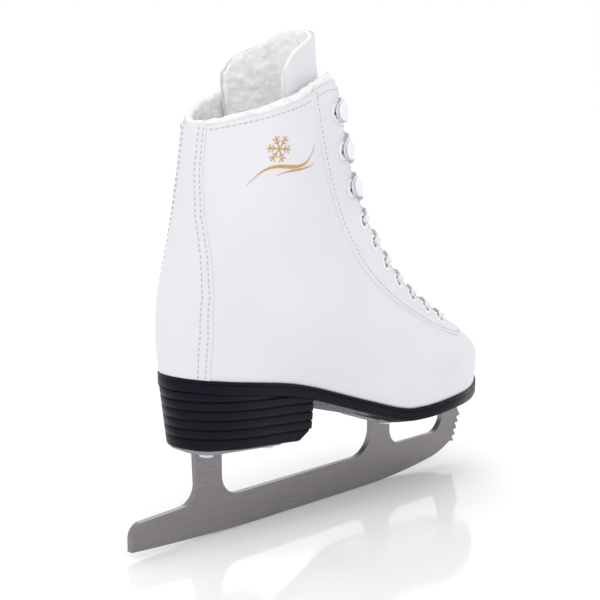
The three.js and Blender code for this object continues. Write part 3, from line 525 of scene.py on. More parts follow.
rise = np.linspace(0, 1, RISE_STEPS) * (COLLAR_LEVEL - 0.01)
turn = np.linspace(-1, 1, ROUND_STEPS)
reach = math.pi - np.where(turn[:, None] < 0, shell_edge(rise, -1), shell_edge(rise, 1))
shell = on_boot(turn[:, None] * reach, rise[None] + 0 * reach, -0.05)
quarters = sheet("quarters_shell", shell, leather, flip=True)
join_doubles(quarters)
skin = LEATHER_THICKNESS / 1000 - 0.0002
with_modifier(quarters, "SOLIDIFY", thickness=skin, offset=-1, use_even_offset=True)
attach(quarters, "boot")
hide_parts("quarters_and_vamp")

# ------------------------------------------------------------------ back panel
# A second piece of leather up the heel, laid over the joint of the two quarters and sewn
# down with a double row of stitches along each edge.
# Half width of the panel at each height (z, half width).
BACK_PANEL = np.array(
    [[80, 20.5], [98, 20.5], [120, 22.5], [140, 22.5], [160, 19], [182, 13.5], [205, 10.5], [290, 9.5]]
)
RAISED = 0.55


def panel_angle(level, inset=0.0):
    """Angle from the back where the panel ends: the arc sine of its half width over the
    boot's half width there, found again six times as that width changes with the angle."""
    height = boot_face(np.zeros_like(level), level)[..., 2]
    half = np.interp(height, *BACK_PANEL.T) - inset
    angle = np.full_like(level, 0.4)
    for _ in range(6):
        wide = boot_face(angle, level)[..., 1] / np.sin(angle)
        angle = np.arcsin(np.clip(half / wide, -1, 1))
    return angle


panel_rise = np.linspace(0.02, COLLAR_LEVEL, 120)
panel_across = np.concatenate([[-1, -1], np.linspace(-0.985, 0.985, 30), [1, 1]])
panel_height = np.concatenate([[-0.9, RAISED * 0.55], np.full(30, RAISED), [RAISED * 0.55, -0.9]])
panel_edge = panel_angle(panel_rise)
panel_lift = panel_height[:, None] + 0 * panel_rise
panel = on_boot(panel_across[:, None] * panel_edge, panel_rise[None], panel_lift)
back_panel = sheet("back_panel_leather", panel, leather, flip=True)
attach(back_panel, "boot")
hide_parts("back_panel")

# ------------------------------------------------------------------ lace facing
# One U-shaped piece of leather that frames the throat from the collar round the toe end,
# stitched down along its outer seam, its inner edge turned and sewn to the lining.
FACING_WALL = 5.2  # depth of the turned edge down the throat
CORNER_DROP, CORNER_FROM, CORNER_ACROSS = 0.17, 0.84, 0.45  # in levels, and shares of the facing


def doubled(lateral, medial):
    """Both sides as one line: down the outer side to the toe, then up the inner side."""
    down = np.stack([math.pi + lateral[:, 0], lateral[:, 1]], axis=1)
    up = np.stack([math.pi - medial[:, 0], medial[:, 1]], axis=1)[::-1]
    return np.vstack([down, up[1:]])


outer_line = doubled(facing_outer, facing_outer)
inner_line = doubled(facing_inner[-1], facing_inner[1])


def facing_place(v):
    """Angle and level across the facing, from its seam (0) to its throat edge (1). Near
    the collar the level drops as a quarter circle, which rounds the front corner."""
    line = outer_line[None] * (1 - v)[:, None, None] + inner_line[None] * v[:, None, None]
    from_collar = np.abs(np.linspace(-1, 1, len(outer_line)))
    near = np.clip((from_collar - CORNER_FROM) / (1 - CORNER_FROM), 0, 1)
    bend = 1 - np.sqrt(1 - np.clip((v - CORNER_ACROSS) / (1 - CORNER_ACROSS), 0, 1) ** 2)
    level = line[..., 1] - CORNER_DROP * bend[:, None] * near[None]
    return line[..., 0], level


facing_v = np.concatenate([[0, 0.0], np.linspace(0.015, 0.985, 34), [1.0, 1.0, 1.0]])
facing_height = np.concatenate(
    [[-0.9, RAISED * 0.5], np.full(34, RAISED), [RAISED * 0.4, -1.2, -FACING_WALL]]
)
theta, level = facing_place(facing_v)
facing_points = on_boot(theta, level, facing_height[:, None] + 0 * theta)
facing = sheet("facing_leather", facing_points, leather, flip=True)
join_doubles(facing)
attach(facing, "boot")
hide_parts("lace_facing")

# ------------------------------------------------------------------ stitches
# Grey polyester thread: one row along the collar, one each side of the facing, and two up
# each edge of the back panel. Each stitch is a short rounded bar that dips at both ends.
thread = Look("grey_thread", (0.56, 0.56, 0.61), 0.7)
at = thread.place()
twist = {"Vector": at, "Scale": 1.6, "Distortion": 1.0}
ply = thread.node("ShaderNodeTexWave", {"bands_direction": "DIAGONAL"}, twist)
thread.feed("Base Color", thread.mix(ply, (0.5, 0.5, 0.55), (0.68, 0.68, 0.73)))
thread.bump(ply, 0.1, 0.7)
STITCH_PITCH, STITCH_LENGTH, STITCH_WIDTH = 3.1, 2.3, 0.62


def stitch_row(theta, level, height):
    """Stitches evenly along a line on the boot: each is a six-sided bar whose radius goes
    as the root of one less the fourth power of the way along, bent down at its ends."""
    path = on_boot(theta, level, np.full_like(level, height))
    out = boot_normal(theta, level)
    run = np.concatenate([[0], np.cumsum(np.linalg.norm(np.diff(path, axis=0), axis=1))])
    middle = np.arange(STITCH_PITCH / 2, run[-1] - 1, STITCH_PITCH)
    at = lambda s, values: np.stack([np.interp(s, run, values[:, k]) for k in range(3)], axis=-1)
    along = unit(at(middle + 0.5, path) - at(middle - 0.5, path))
    normal = unit(at(middle, out))
    side = np.cross(normal, along)
    s = np.linspace(-1, 1, 6)
    turn = np.arange(6) * math.pi / 3
    radius = STITCH_WIDTH / 2 * np.sqrt(1 - s**4 * 0.92)
    lift = 0.16 - 0.3 * s**2
    local = np.stack(
        [
            (s * STITCH_LENGTH / 2)[:, None] + 0 * turn,
            radius[:, None] * np.cos(turn),
            radius[:, None] * np.sin(turn) * 0.8 + lift[:, None],
        ],
        axis=-1,
    ).reshape(-1, 3)
    axes = np.stack([along, side, normal], axis=1)
    points = at(middle, path)[:, None] + np.einsum("lk,nkc->nlc", local, axes)
    faces = grid_faces(6, 6, close_columns=True)
    every = np.arange(len(middle))[:, None, None] * len(local) + faces[None]
    return points.reshape(-1, 3), every.reshape(-1, 4)


SEAM_INSET = 0.075  # in levels, from the collar
ROW_SHARES = (0.1, 0.93)  # of the way across the facing
collar_span = math.pi - facing_outer[0, 0] - 0.02
panel_top = panel_angle(np.array([COLLAR_LEVEL - SEAM_INSET]))[0] + 0.03
around = lambda side: side * np.linspace(panel_top, collar_span, 200)
rows = [stitch_row(around(side), np.full(200, COLLAR_LEVEL - SEAM_INSET), 0.0) for side in (-1, 1)]
for v in ROW_SHARES:
    theta, level = facing_place(np.array([v]))
    rows.append(stitch_row(theta[0], level[0], RAISED))
theta, level = facing_place(np.linspace(*ROW_SHARES, 40))
for end in (0, -1):
    rows.append(stitch_row(theta[:, end], level[:, end] - SEAM_INSET, RAISED))
for inset in (1.5, 4.1):
    edge = panel_angle(panel_rise, inset)
    rows.extend(stitch_row(side * edge, panel_rise, RAISED) for side in (-1, 1))
counts = np.cumsum([0] + [len(points) for points, _ in rows])
stitches = mesh_piece(
    "stitches",
    np.vstack([points for points, _ in rows]),
    np.vstack([faces + start for (_, faces), start in zip(rows, counts)]),
    thread,
)
join_doubles(stitches, 0.002, outward=True)
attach(stitches, "boot")

# ------------------------------------------------------------------ eyelets
# Seven pairs of pressed eyelets, a rolled rim of white enamelled metal; a dark disc down in each hole is
# painted shade for the shadow inside it.
EYELET_ROWS, HOOK_ROWS = 7, 3
ROW_Y = (22.5, 26.5)
EYELET_PITCH, HOOK_PITCH, FIRST_EYELET_Z = 17, 22.8, 104
enamel = Look("white_enamel", (0.86, 0.87, 0.9), 0.22, {"Coat Weight": 0.6, "Coat Roughness": 0.08})
at = enamel.place()
enamel.polish(enamel.noise(at, 3, 3), 0.16, 0.32)
enamel.bump(enamel.noise(at, 2.2, 2), 0.06, 0.4)
# Painted shade: a dark finish for the discs put down in the eyelet and rivet holes, standing in for their
# shadow.
painted_hole_shade = Look("painted_hole_shade", (0.10, 0.11, 0.16), 0.45)
at = painted_hole_shade.place()
painted_hole_shade.polish(painted_hole_shade.noise(at, 1.5, 2), 0.35, 0.6)


def angle_at(level, wide, side):
    """Angle of the front half where the boot is so wide, halving the span thirty times."""
    near, far = np.full_like(level, math.pi), np.full_like(level, math.pi / 2)
    for _ in range(30):
        middle = (near + far) / 2
        short = np.abs(boot_face(side * middle, level)[..., 1]) < wide
        near, far = np.where(short, middle, near), np.where(short, far, middle)
    return side * near


class Row:
    """A fastener's seat on the leather: its point, normal, way to the throat and way up."""

    def __init__(self, angle, level, side):
        self.angle, self.level, self.side = angle, level, side
        self.point = boot_face(angle, level)
        self.normal = boot_normal(angle, level)
        inward = np.array([0.0, -side, 0.0])
        self.towards = unit(inward - self.normal * (inward @ self.normal))
        self.up = np.cross(self.towards, self.normal) * side

    def beside(self, out, up, height):
        out, up, height = (np.asarray(part, float)[..., None] for part in (out, up, height))
        return self.point + self.towards * out + self.up * up + self.normal * height

    def across(self, turn):
        return self.towards * math.sin(turn) + self.up * math.cos(turn)


def fastener_rows(side):
    width_at = lambda level: ROW_Y[0] + (ROW_Y[1] - ROW_Y[0]) * (level - 2) / (COLLAR_LEVEL - 2)
    levels = np.linspace(2.2, COLLAR_LEVEL, 81)
    points = boot_face(angle_at(levels, width_at(levels), side), levels)
    first = np.argmax(points[:, 2] >= FIRST_EYELET_Z)
    steps = np.linalg.norm(np.diff(points[first:], axis=0), axis=1)
    run = np.concatenate([[0], np.cumsum(steps)])
    wanted = np.arange(EYELET_ROWS) * EYELET_PITCH
    wanted = np.concatenate([wanted, wanted[-1] + np.arange(1, HOOK_ROWS + 1) * HOOK_PITCH])
    found = np.interp(wanted, run, levels[first:])
    angles = angle_at(found, width_at(found), side)
    return [Row(angle, level, side) for angle, level in zip(angles, found)]


fasteners = {side: fastener_rows(side) for side in (-1, 1)}


def turned(profile, steps, centre=(0.0, 0.0)):
    """A profile of (radius, height) turned about a line square to the leather."""
    turn = np.arange(steps) * 2 * math.pi / steps
    r, z = np.asarray(profile, float).T
    x = centre[0] + r[:, None] * np.cos(turn)
    y = centre[1] + r[:, None] * np.sin(turn)
    points = np.stack([x, y, z[:, None] + 0 * turn], axis=-1).reshape(-1, 3)
    return points, grid_faces(len(r), steps, close_columns=True)


def seated(name, rows, shapes, looks):
    """One mesh of turned shapes (points, faces, look number) repeated on every seat."""
    points, faces, marks, start = [], [], [], 0
    for row in rows:
        axes = np.stack([row.towards, np.cross(row.normal, row.towards), row.normal])
        for local, shape_faces, mark in shapes:
            points.append(row.point + local @ axes)
            faces.append(shape_faces + start)
            marks.extend([mark] * len(shape_faces))
            start += len(local)
    piece = mesh_piece(name, np.vstack(points), np.vstack(faces), looks[0])
    for look in looks[1:]:
        piece.data.materials.append(look.material)
    piece.data.polygons.foreach_set("material_index", marks)
    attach(piece, "boot")
    return piece


def rolled(inner, outer, low, high, steps=14):
    """Rim profile: half an ellipse from the inner radius over the top to the outer one."""
    turn = np.linspace(math.pi, 0, steps)
    middle, half = (inner + outer) / 2, (outer - inner) / 2
    return np.stack([middle + half * np.cos(turn), low + (high - low) * np.sin(turn) ** 0.7], axis=1)


rim = np.vstack([[[2.75, 0.2]], rolled(2.75, 4.95, 0.5, 1.45), [[4.95, 0.1]]])
eyelet_rows = [row for side in (-1, 1) for row in fasteners[side][:EYELET_ROWS]]
eyelets = seated(
    "eyelet_rims",
    eyelet_rows,
    # The second shape, a dark disc down in the hole, is painted shade.
    [(*turned(rim, 32), 0), (*turned([[2.9, 0.66], [1.4, 0.62], [0.02, 0.6]], 20), 1)],
    [enamel, painted_hole_shade],
)
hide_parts(*[f"eyelet_{side}_{i}" for side in ("lateral", "medial") for i in range(1, EYELET_ROWS + 1)])

# ------------------------------------------------------------------ lace hooks
# Three pairs of hooks above the eyelets: a base disc with its rivet, a short neck, and a
# domed white cap that holds the lace in.
HOOK_NECK, HOOK_NECK_OUT, HOOK_CAP_OUT, RIVET_OUT = 1.7, 1.2, 1.8, -2.9
base = [[0.02, 1.75], [3.4, 1.72], [4.6, 1.6], [5.15, 1.3], [5.3, 0.9], [5.25, 0.4], [5.0, 0.1]]
cap = [[0.02, 6.25], [2.2, 6.15], [3.8, 5.85], [4.8, 5.4], [5.2, 5.0], [5.1, 4.72], [4.6, 4.6], [0.02, 4.6]]
neck = [[2.2, 1.7], [1.75, 2.1], [HOOK_NECK, 4.0], [2.1, 4.7]]
hole_rim = rolled(1.15, 1.9, 1.62, 1.95, 8)
hooks = seated(
    "hook_bodies",
    [row for side in (-1, 1) for row in fasteners[side][EYELET_ROWS:]],
    [
        (*turned(base, 36), 0),
        (*turned(neck, 20, (HOOK_NECK_OUT, 0)), 0),
        (*turned(cap, 40, (HOOK_CAP_OUT, 0)), 0),
        (*turned(hole_rim, 20, (RIVET_OUT, 0)), 0),
        # The dark disc in the rivet hole is painted shade.
        (*turned([[1.25, 1.8], [0.02, 1.78]], 16, (RIVET_OUT, 0)), 1),
    ],
    [enamel, painted_hole_shade],
)
join_doubles(hooks, 0.005, outward=True)
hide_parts(*[f"lace_hook_{side}_{i}" for side in ("lateral", "medial") for i in range(1, HOOK_ROWS + 1)])

# ------------------------------------------------------------------ lace
# One flat woven polyester lace, led up through every eyelet, crossed over the tongue and
# round the hooks, its two ends tucked between the lining and the tongue.
LACE_THICKNESS = 1.1
LACE_FLAT, LACE_EYELET, LACE_HOOK, LACE_BUNCHED, LACE_END = 7.0, 3.7, 3.0, 2.6, 3.2
LACE_UNDER, LACE_OVER, LACE_HOOK_HEIGHT = 8.0, 2.3, 3.05
LACE_MIDDLE = {
    ("eyelet", -1): [(0.36, 1.6), (0.5, 2.6), (0.64, 3.8)],
    ("eyelet", 1): [(0.35, 4.6), (0.42, 7.2), (0.5, 7.9), (0.64, 8)],
    ("hook", -1): [(0.36, 4.6), (0.5, 5.4), (0.64, 4.6)],
    ("hook", 1): [(0.36, 7.2), (0.5, 8), (0.64, 7.2)],
}
weave = Look("woven_lace", (0.86, 0.86, 0.89), 0.85, {"Sheen Weight": 0.3})
ribs = weave.place(kind="UV")
along_lace = weave.node("ShaderNodeSeparateXYZ", {}, {0: ribs}, 0)
across_lace = weave.node("ShaderNodeSeparateXYZ", {}, {0: ribs}, 1)
left_ply = (along_lace * 5.2 + across_lace * 9.0).wave()
right_ply = (along_lace * 5.2 - across_lace * 9.0).wave()
plait = (left_ply * right_ply) * 0.5 + 0.5
weave.feed("Base Color", weave.mix(plait, (0.9, 0.9, 0.93), (0.99, 0.99, 1.0)))
weave.bump(plait, 0.22, 0.6)


def through_eyelet(row):
    at = [(0.4, -7, 0), (0, -4.5, 0), (0, -0.8, 0), (0.7, 1.5, 0), (2.6, 2.75, 0.9)]
    return [(row.beside(out, 0, height), row.across(0), LACE_EYELET + more) for out, height, more in at]


def round_hook(row, last):
    away = HOOK_NECK + LACE_BUNCHED / 2 + 0.3
    knots = []
    for turn in np.linspace(-1.2, 1.5 if last else 1.2, 5):
        place = row.beside(HOOK_NECK_OUT - away * math.cos(turn), away * math.sin(turn), LACE_HOOK_HEIGHT)
        knots.append((place, row.across(turn - math.pi / 2), LACE_HOOK))
    return knots


def over_tongue(start, end, from_depth, to_depth, middle):
    """Knots from one row across to the next: angle and level change evenly, while the
    depth goes from one facing down to the tongue and under or over the other facing."""
    unwound = lambda row: row.angle + (2 * math.pi if row.angle < 0 else 0)
    level = lambda s: start.level + (end.level - start.level) * s
    angle = lambda s: unwound(start) + (unwound(end) - unwound(start)) * s
    place = lambda s, depth: on_boot(angle(s), level(s), -depth)
    shares = np.linspace(0, 0.5, 101)

    def in_throat(s, depth):
        points = place(s, np.full_like(s, depth))
        half = np.interp(points[:, 0], *THROAT.T)
        return np.abs(points[:, 1]) < half - 0.4

    leave = shares[np.argmax(in_throat(shares, from_depth))]
    arrive = shares[np.argmax(in_throat(1 - shares, to_depth))]
    knots = [
        (leave * 0.72, from_depth),
        (leave + 0.012, from_depth - 0.35 * np.sign(from_depth)),
        *middle,
        (1 - arrive - (0.03 if to_depth > 0 else 0.012), to_depth - np.sign(to_depth) * 0.3),
        (1 - arrive * 0.66, to_depth),
    ]
    knots = knots[1 if from_depth < -LACE_OVER else 0 : len(knots) - (1 if to_depth < 0 else 0)]
    made = []
    for s, depth in knots:
        run = place(s + 0.02, depth) - place(s - 0.02, depth)
        made.append((place(s, depth), unit(np.cross(boot_normal(angle(s), level(s)), run)), LACE_FLAT))
    return made


def tucked_end(row):
    step = 0.01
    length = lambda a, b: np.linalg.norm(a - b) / (2 * step)
    wide = length(boot_face(row.angle + step, row.level), boot_face(row.angle - step, row.level))
    tall = length(boot_face(row.angle, row.level + step), boot_face(row.angle, row.level - step))
    edge = (abs(row.point[1]) - np.interp(row.point[0], *THROAT.T)) / abs(row.towards[1])
    knots = [
        (edge - 1.4, 3.4, 2.6, 0),
        (edge + 1.6, 3.5, 0.6, 0),
        (edge + 2, 3.5, -3.2, 0),
        (edge + 0.6, 3.5, -6.9, 0),
        (edge - 3, 3.3, -LACE_UNDER, 0),
        (edge - 7, 0.8, -LACE_UNDER, -0.8),
        (edge - 8.6, -4, -LACE_UNDER, -1.35),
        (edge - 9, -14, -LACE_UNDER, -math.pi / 2),
        (edge - 9, -26, -LACE_UNDER, -math.pi / 2),
    ]
    at = lambda out, up, height: on_boot(row.angle + row.side * out / wide, row.level + up / tall, height)
    return [(at(out, up, height), row.across(turn), LACE_END) for out, up, height, turn in knots]


def lace_half(side):
    knots = []
    rows = [fasteners[side if i % 2 == 0 else -side][i] for i in range(EYELET_ROWS + HOOK_ROWS)]
    for i, row in enumerate(rows):
        hooked, last, to_hook = i >= EYELET_ROWS, i + 1 == len(rows), i + 1 >= EYELET_ROWS
        knots += round_hook(row, last) if hooked else through_eyelet(row)
        if last:
            return knots + tucked_end(row)
        middle = LACE_MIDDLE["hook" if to_hook else "eyelet", row.side]
        from_depth = -LACE_HOOK_HEIGHT if hooked else -LACE_OVER
        to_depth = -LACE_HOOK_HEIGHT if to_hook else LACE_UNDER
        knots += over_tongue(row, rows[i + 1], from_depth, to_depth, middle)


bar = over_tongue(fasteners[-1][0], fasteners[1][0], LACE_UNDER, LACE_UNDER, [(0.5, LACE_UNDER)])
knots = lace_half(-1)[::-1] + bar + lace_half(1)
places = np.array([place for place, _, _ in knots])
sideways = np.array([across for _, across, _ in knots])
widths = np.array([width for _, _, width in knots])
for k in range(1, len(knots)):
    if sideways[k] @ sideways[k - 1] < 0:
        sideways[k] *= -1


def centripetal(points, per_span):
    """Centripetal Catmull-Rom curve: knots spaced by the root of their distance apart."""
    p = np.vstack([2 * points[0] - points[1], points, 2 * points[-1] - points[-2]])
    gap = np.linalg.norm(np.diff(p, axis=0), axis=1) ** 0.5
    t1, t2, t3 = gap[:-2, None], (gap[:-2] + gap[1:-1])[:, None], (gap[:-2] + gap[1:-1] + gap[2:])[:, None]
    w = np.arange(per_span) / per_span
    t = t1 + (t2 - t1) * w
    t, t1, t2, t3 = t[..., None], t1[..., None], t2[..., None], t3[..., None]
    p0, p1, p2, p3 = (p[k : len(p) - 3 + k, None] for k in range(4))
    a1 = p0 * (t1 - t) / t1 + p1 * t / t1
    a2 = p1 * (t2 - t) / (t2 - t1) + p2 * (t - t1) / (t2 - t1)
    a3 = p2 * (t3 - t) / (t3 - t2) + p3 * (t - t2) / (t3 - t2)
    b1 = a1 * (t2 - t) / t2 + a2 * t / t2
    b2 = a2 * (t3 - t) / (t3 - t1) + a3 * (t - t1) / (t3 - t1)
    curve = b1 * (t2 - t) / (t2 - t1) + b2 * (t - t1) / (t2 - t1)
    return np.vstack([curve.reshape(-1, 3), points[-1:]])


PER_SPAN = 7
route = centripetal(places, PER_SPAN)
spot = np.arange(len(route)) / PER_SPAN
every = np.arange(len(knots))
flow = unit(np.gradient(route, axis=0))
wide_way = np.stack([np.interp(spot, every, sideways[:, k]) for k in range(3)], axis=1)
wide_way = unit(wide_way - flow * np.sum(wide_way * flow, axis=1, keepdims=True))
flat_way = np.cross(flow, wide_way)
half_width = np.interp(spot, every, widths)[:, None] / 2
pinch = np.clip((LACE_FLAT - 2 * half_width) / (LACE_FLAT - LACE_EYELET), 0, 1)
u = np.concatenate([np.linspace(-1, 1, 13), np.linspace(1, -1, 13)])
side_sign = np.concatenate([np.ones(13), -np.ones(13)])
thick = LACE_THICKNESS / 2 * np.sqrt(np.clip(1 - np.abs(u) ** 5, 0.0, 1)) * side_sign
fold = 0.45 * np.cos(2.5 * math.pi * u) + 0.25 * np.cos(math.pi * u + 0.6)
section = (
    route[:, None]
    + wide_way[:, None] * (half_width * u)[..., None]
    + flat_way[:, None] * (thick * (1 - 0.25 * pinch) + fold * pinch)[..., None]
)
run = np.concatenate([[0], np.cumsum(np.linalg.norm(np.diff(route, axis=0), axis=1))])
lace_uv = np.stack(np.broadcast_arrays(run[:, None], 3.5 * u[None] * np.ones_like(run)[:, None]), axis=-1)
lace = sheet("flat_lace", section, weave, close_columns=True, uv=lace_uv.reshape(-1, 2))
join_doubles(lace, 0.003, outward=True)
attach(lace, "boot")
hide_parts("lace")

# ------------------------------------------------------------------ foil ornament
# A plain snowflake over two sweeping lines, pressed into the outer quarter in gold foil
# below the collar.
ORNAMENT_AT, ORNAMENT_TURN = (-1.24, 6.56), math.radians(15)
foil = Look("gold_foil", (0.62, 0.36, 0.11), 0.34, {"Metallic": 0.75})
rub = foil.noise(foil.place(), 1.4, 4, 0.6)
foil.tint(rub, 0.35, 0.7, (0.7, 0.42, 0.14), (0.56, 0.31, 0.09))
foil.polish(rub, 0.28, 0.45)
foil.bump(rub, 0.03, 0.5)
ORNAMENT_STEP = 0.02
ORNAMENT_FROM = on_boot(*ORNAMENT_AT)
around_mm = np.linalg.norm(on_boot(ORNAMENT_AT[0] + ORNAMENT_STEP, ORNAMENT_AT[1]) - ORNAMENT_FROM)
rise_mm = np.linalg.norm(on_boot(ORNAMENT_AT[0], ORNAMENT_AT[1] + ORNAMENT_STEP) - ORNAMENT_FROM)


def foil_strip(line, half_width):
    """Two edges on either side of a flat line, laid on the boot: across the quarter by the
    first number and up it by the second, after the ornament's turn."""
    line = np.asarray(line, float)
    run = unit(np.gradient(line, axis=0))
    side = np.stack([-run[:, 1], run[:, 0]], axis=1) * np.asarray(half_width, float).reshape(-1, 1)
    flat = np.stack([line - side, line, line + side])
    c, s = math.cos(ORNAMENT_TURN), math.sin(ORNAMENT_TURN)
    across, up = flat[..., 0] * c - flat[..., 1] * s, flat[..., 0] * s + flat[..., 1] * c
    angle = ORNAMENT_AT[0] - across / around_mm * ORNAMENT_STEP
    return on_boot(angle, ORNAMENT_AT[1] + up / rise_mm * ORNAMENT_STEP, 0.06 + 0 * up)


t = np.linspace(0, 1, 60)
swell = np.sin(math.pi * t) ** 2
upper = np.stack([-22 + 47 * t, -8.5 + 4.2 * np.sin(2 * math.pi * t)], 1)
lower = np.stack([-6 + 26 * t, -13.2 + 3 * np.cos(math.pi * t)], 1)
strips = [foil_strip(upper, 0.12 + 0.75 * swell), foil_strip(lower, 0.1 + 0.5 * swell)]
FLAKE_AT, FLAKE_ARM, FLAKE_BARBS, BARB_LEAN = np.array([0.0, 2.6]), 7.4, ((0.42, 2.2), (0.68, 2.6)), 0.95
way = lambda turn: np.array([math.sin(turn), math.cos(turn)])
t = np.linspace(0, 1, 10)[:, None]
for turn in np.arange(6) * math.pi / 3:
    strips.append(foil_strip(FLAKE_AT + way(turn) * FLAKE_ARM * t, np.full(10, 0.34)))
    for share, length in FLAKE_BARBS:
        start = FLAKE_AT + way(turn) * FLAKE_ARM * share
        for lean in (-BARB_LEAN, BARB_LEAN):
            strips.append(foil_strip(start + way(turn + lean) * length * t, np.full(10, 0.27)))
faces, first = [], 0
for strip in strips:
    faces.append(grid_faces(3, strip.shape[1], start=first))
    first += strip.shape[0] * strip.shape[1]
foil_points = np.vstack([part.reshape(-1, 3) for part in strips])
ornament = mesh_piece("foil_ornament", foil_points, np.vstack(faces), foil)
with_modifier(ornament, "SOLIDIFY", thickness=0.00008, offset=0)
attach(ornament, "boot")

# ------------------------------------------------------------------ fleece lining
# Off-white tufted fleece glued to the inside of the boot, its soft edge standing a little
# above the collar. It stops at the throat's edges.
FLEECE_INNER = 6.6
fleece = Look(
    "tufted_fleece",
    (0.93, 0.92, 0.91),
    0.95,
    {
        "Sheen Weight": 0.5,
        "Sheen Roughness": 0.6,
        # Painted light: a faint white glow that lifts the shade in the pile.
        "Emission Color": (1, 0.99, 0.98, 1),
        "Emission Strength": 0.05,
    },
)
at = fleece.place()
tufts = fleece.cells(at, 3.6, "SMOOTH_F1")
curls = fleece.noise(at, 1.1, 5, 0.7)
clumps = fleece.noise(at, 5.5, 3, 0.6)
fluff = (1 - tufts) * 0.75 + curls * 0.3 + clumps * 0.3
fleece.tint(fluff, 0.4, 0.8, (0.76, 0.755, 0.75), (0.94, 0.93, 0.925))
fleece.bump(fluff, 1.8, 0.85)


def fluffed(piece, depth_mm, size_mm, middle=0.45):
    """Moves the pile in and out with soft clouds the size of its tufts."""
    clouds = bpy.data.textures.new(piece.name + "_tufts", "CLOUDS")
    clouds.noise_scale, clouds.noise_depth = size_mm / 1000, 3
    by = {"strength": depth_mm / 1000, "mid_level": middle, "texture_coords": "LOCAL"}
    with_modifier(piece, "DISPLACE", texture=clouds, **by)


# The lining's section: up behind the leather, over the collar and down the inside.
lining_levels = np.concatenate([[6.9, 6.98, 7.03, 7.06, 7.075, 7.06], np.linspace(7.03, 0.35, 150)])
lining_depths = np.concatenate(
    [[1.8, 1.8, 2.1, 3.0, 4.2, 5.4, 6.1, 6.4, 6.55], np.full(147, FLEECE_INNER)]
)
lining_turn = np.concatenate([[-1.0], np.linspace(-1, 1, 260), [1.0]])


THROAT_TOE_LEVEL, LINING_SHORT = 2.47, 0.012


def throat_reach(level, side):
    """Angle from the back where the throat's edge is, and the whole way below its end."""
    line = facing_inner[side][::-1]
    offset = np.interp(level, np.maximum.accumulate(line[:, 1]), line[:, 0])
    return math.pi - np.where(level > THROAT_TOE_LEVEL, offset + LINING_SHORT, 0)


reach = np.where(lining_turn[:, None] < 0, throat_reach(lining_levels, -1), throat_reach(lining_levels, 1))
depth = np.broadcast_to(lining_depths, reach.shape).copy()
depth[[0, -1]] = np.minimum(depth[[0, -1]], 3.2)
lining_points = on_boot(lining_turn[:, None] * reach, lining_levels[None] + 0 * reach, -depth)
lining = sheet("fleece_inside", lining_points, fleece, flip=True)
fluffed(lining, 1.9, 4.0, 0.5)
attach(lining, "boot")
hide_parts("fleece_lining")

# ------------------------------------------------------------------ tongue
# A padded tongue under the lace: a leather skin outside, fleece inside, bending forward
# above the top hooks. Its lower end is held by the lace and the toe of the lining.
TONGUE_WRAP = np.array([0.5, 0.5, 0.5, 0.5, 0.66, 0.92, 1.28, 1.62, 1.66])
TONGUE_LEVELS, TONGUE_TIP_DROP, TONGUE_DEPTH = (2.2, 7.72), 0.32, 9.4
TONGUE_SKIN, TONGUE_PILE = 1.2, 3.2
TONGUE_CORNER_RISE, TONGUE_CORNER_WIDE = 62, 46  # millimetres for a level, and for the half angle


def tongue_sheet(depth, inset, rows, columns):
    """A sheet under the boot's face: its half angle widens with the level, and its top
    drops with the fourth power of the way across. Inset pulls all its edges in."""
    s = np.linspace(-1, 1, columns)
    top = TONGUE_LEVELS[1] - TONGUE_TIP_DROP * s**4 - inset / TONGUE_CORNER_RISE
    t = np.linspace(0, 1, rows)[:, None]
    level = TONGUE_LEVELS[0] + (top[None] - TONGUE_LEVELS[0]) * t
    angle = math.pi + eased(TONGUE_WRAP, level) * s[None] * (1 - inset / TONGUE_CORNER_WIDE)
    return on_boot(angle, level, -depth + 0 * level)


skin_points = tongue_sheet(TONGUE_DEPTH, 0.0, 150, 70)
tongue_skin = sheet("tongue_skin", skin_points, leather)
with_modifier(tongue_skin, "SOLIDIFY", thickness=TONGUE_SKIN / 1000, offset=-1)
pile_section = [(0.1, 0.6), (TONGUE_PILE * 0.45, 0.1), (TONGUE_PILE * 0.85, 0.6), (TONGUE_PILE, 2.0)]
pile_points = np.stack(
    [tongue_sheet(TONGUE_DEPTH + TONGUE_SKIN + depth, inset, 170, 110) for depth, inset in pile_section]
)


def pad_around(layers):
    """A closed pad from layered sheets: the first and last sheets, joined by their rims."""
    count, rows, columns = layers.shape[:3]
    along = lambda row, column: (row * columns + column).ravel()
    down, right = np.arange(rows - 1), np.arange(columns - 1)
    ring = [along(0, right), along(down, columns - 1), along(rows - 1, columns - 1 - right)]
    flat = np.concatenate([*ring, along(rows - 1 - down, 0)])
    size = rows * columns
    first = grid_faces(rows, columns)
    following = np.roll(flat, -1)
    wall = np.stack([flat, flat + size, following + size, following], 1)
    walls = [wall + k * size for k in range(count - 1)]
    return layers.reshape(-1, 3), np.vstack([first, first[:, ::-1] + (count - 1) * size, *walls])


tongue_pile = mesh_piece("tongue_fleece", *pad_around(pile_points), fleece)
join_doubles(tongue_pile, 0.001, outward=True)
fluffed(tongue_pile, 1.7, 4.2, 0.62)
for piece in (tongue_skin, tongue_pile):
    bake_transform(piece)
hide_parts("tongue_body", "tongue_flap")

# ------------------------------------------------------------------ outsole
# One black moulded rubber sole under the whole boot, its edge a little wider than the
# upper, with a thin line pressed round it, bevelled below towards a flat middle.
WELT, SOLE_EDGE, BEVEL, FORE_SEAT_Z, FORE_SEAT_X = 1.2, 7.6, 11, 46.8, (30, 52)
SOLE_FULL_HALF = 20.0  # half width from which the bottom lies at its full depth
rubber = Look(
    "black_moulded_rubber",
    (0.003, 0.003, 0.007),
    0.3,
    {"Specular IOR Level": 0.17, "Specular Tint": (0.8, 0.84, 1, 1)},
)
at = rubber.place()
rubber.polish(rubber.noise(at, 9, 4), 0.3, 0.46)
rubber.bump(rubber.noise(at, 0.5, 3) * 0.6 + rubber.noise(at, 6, 2), 0.05, 0.5)


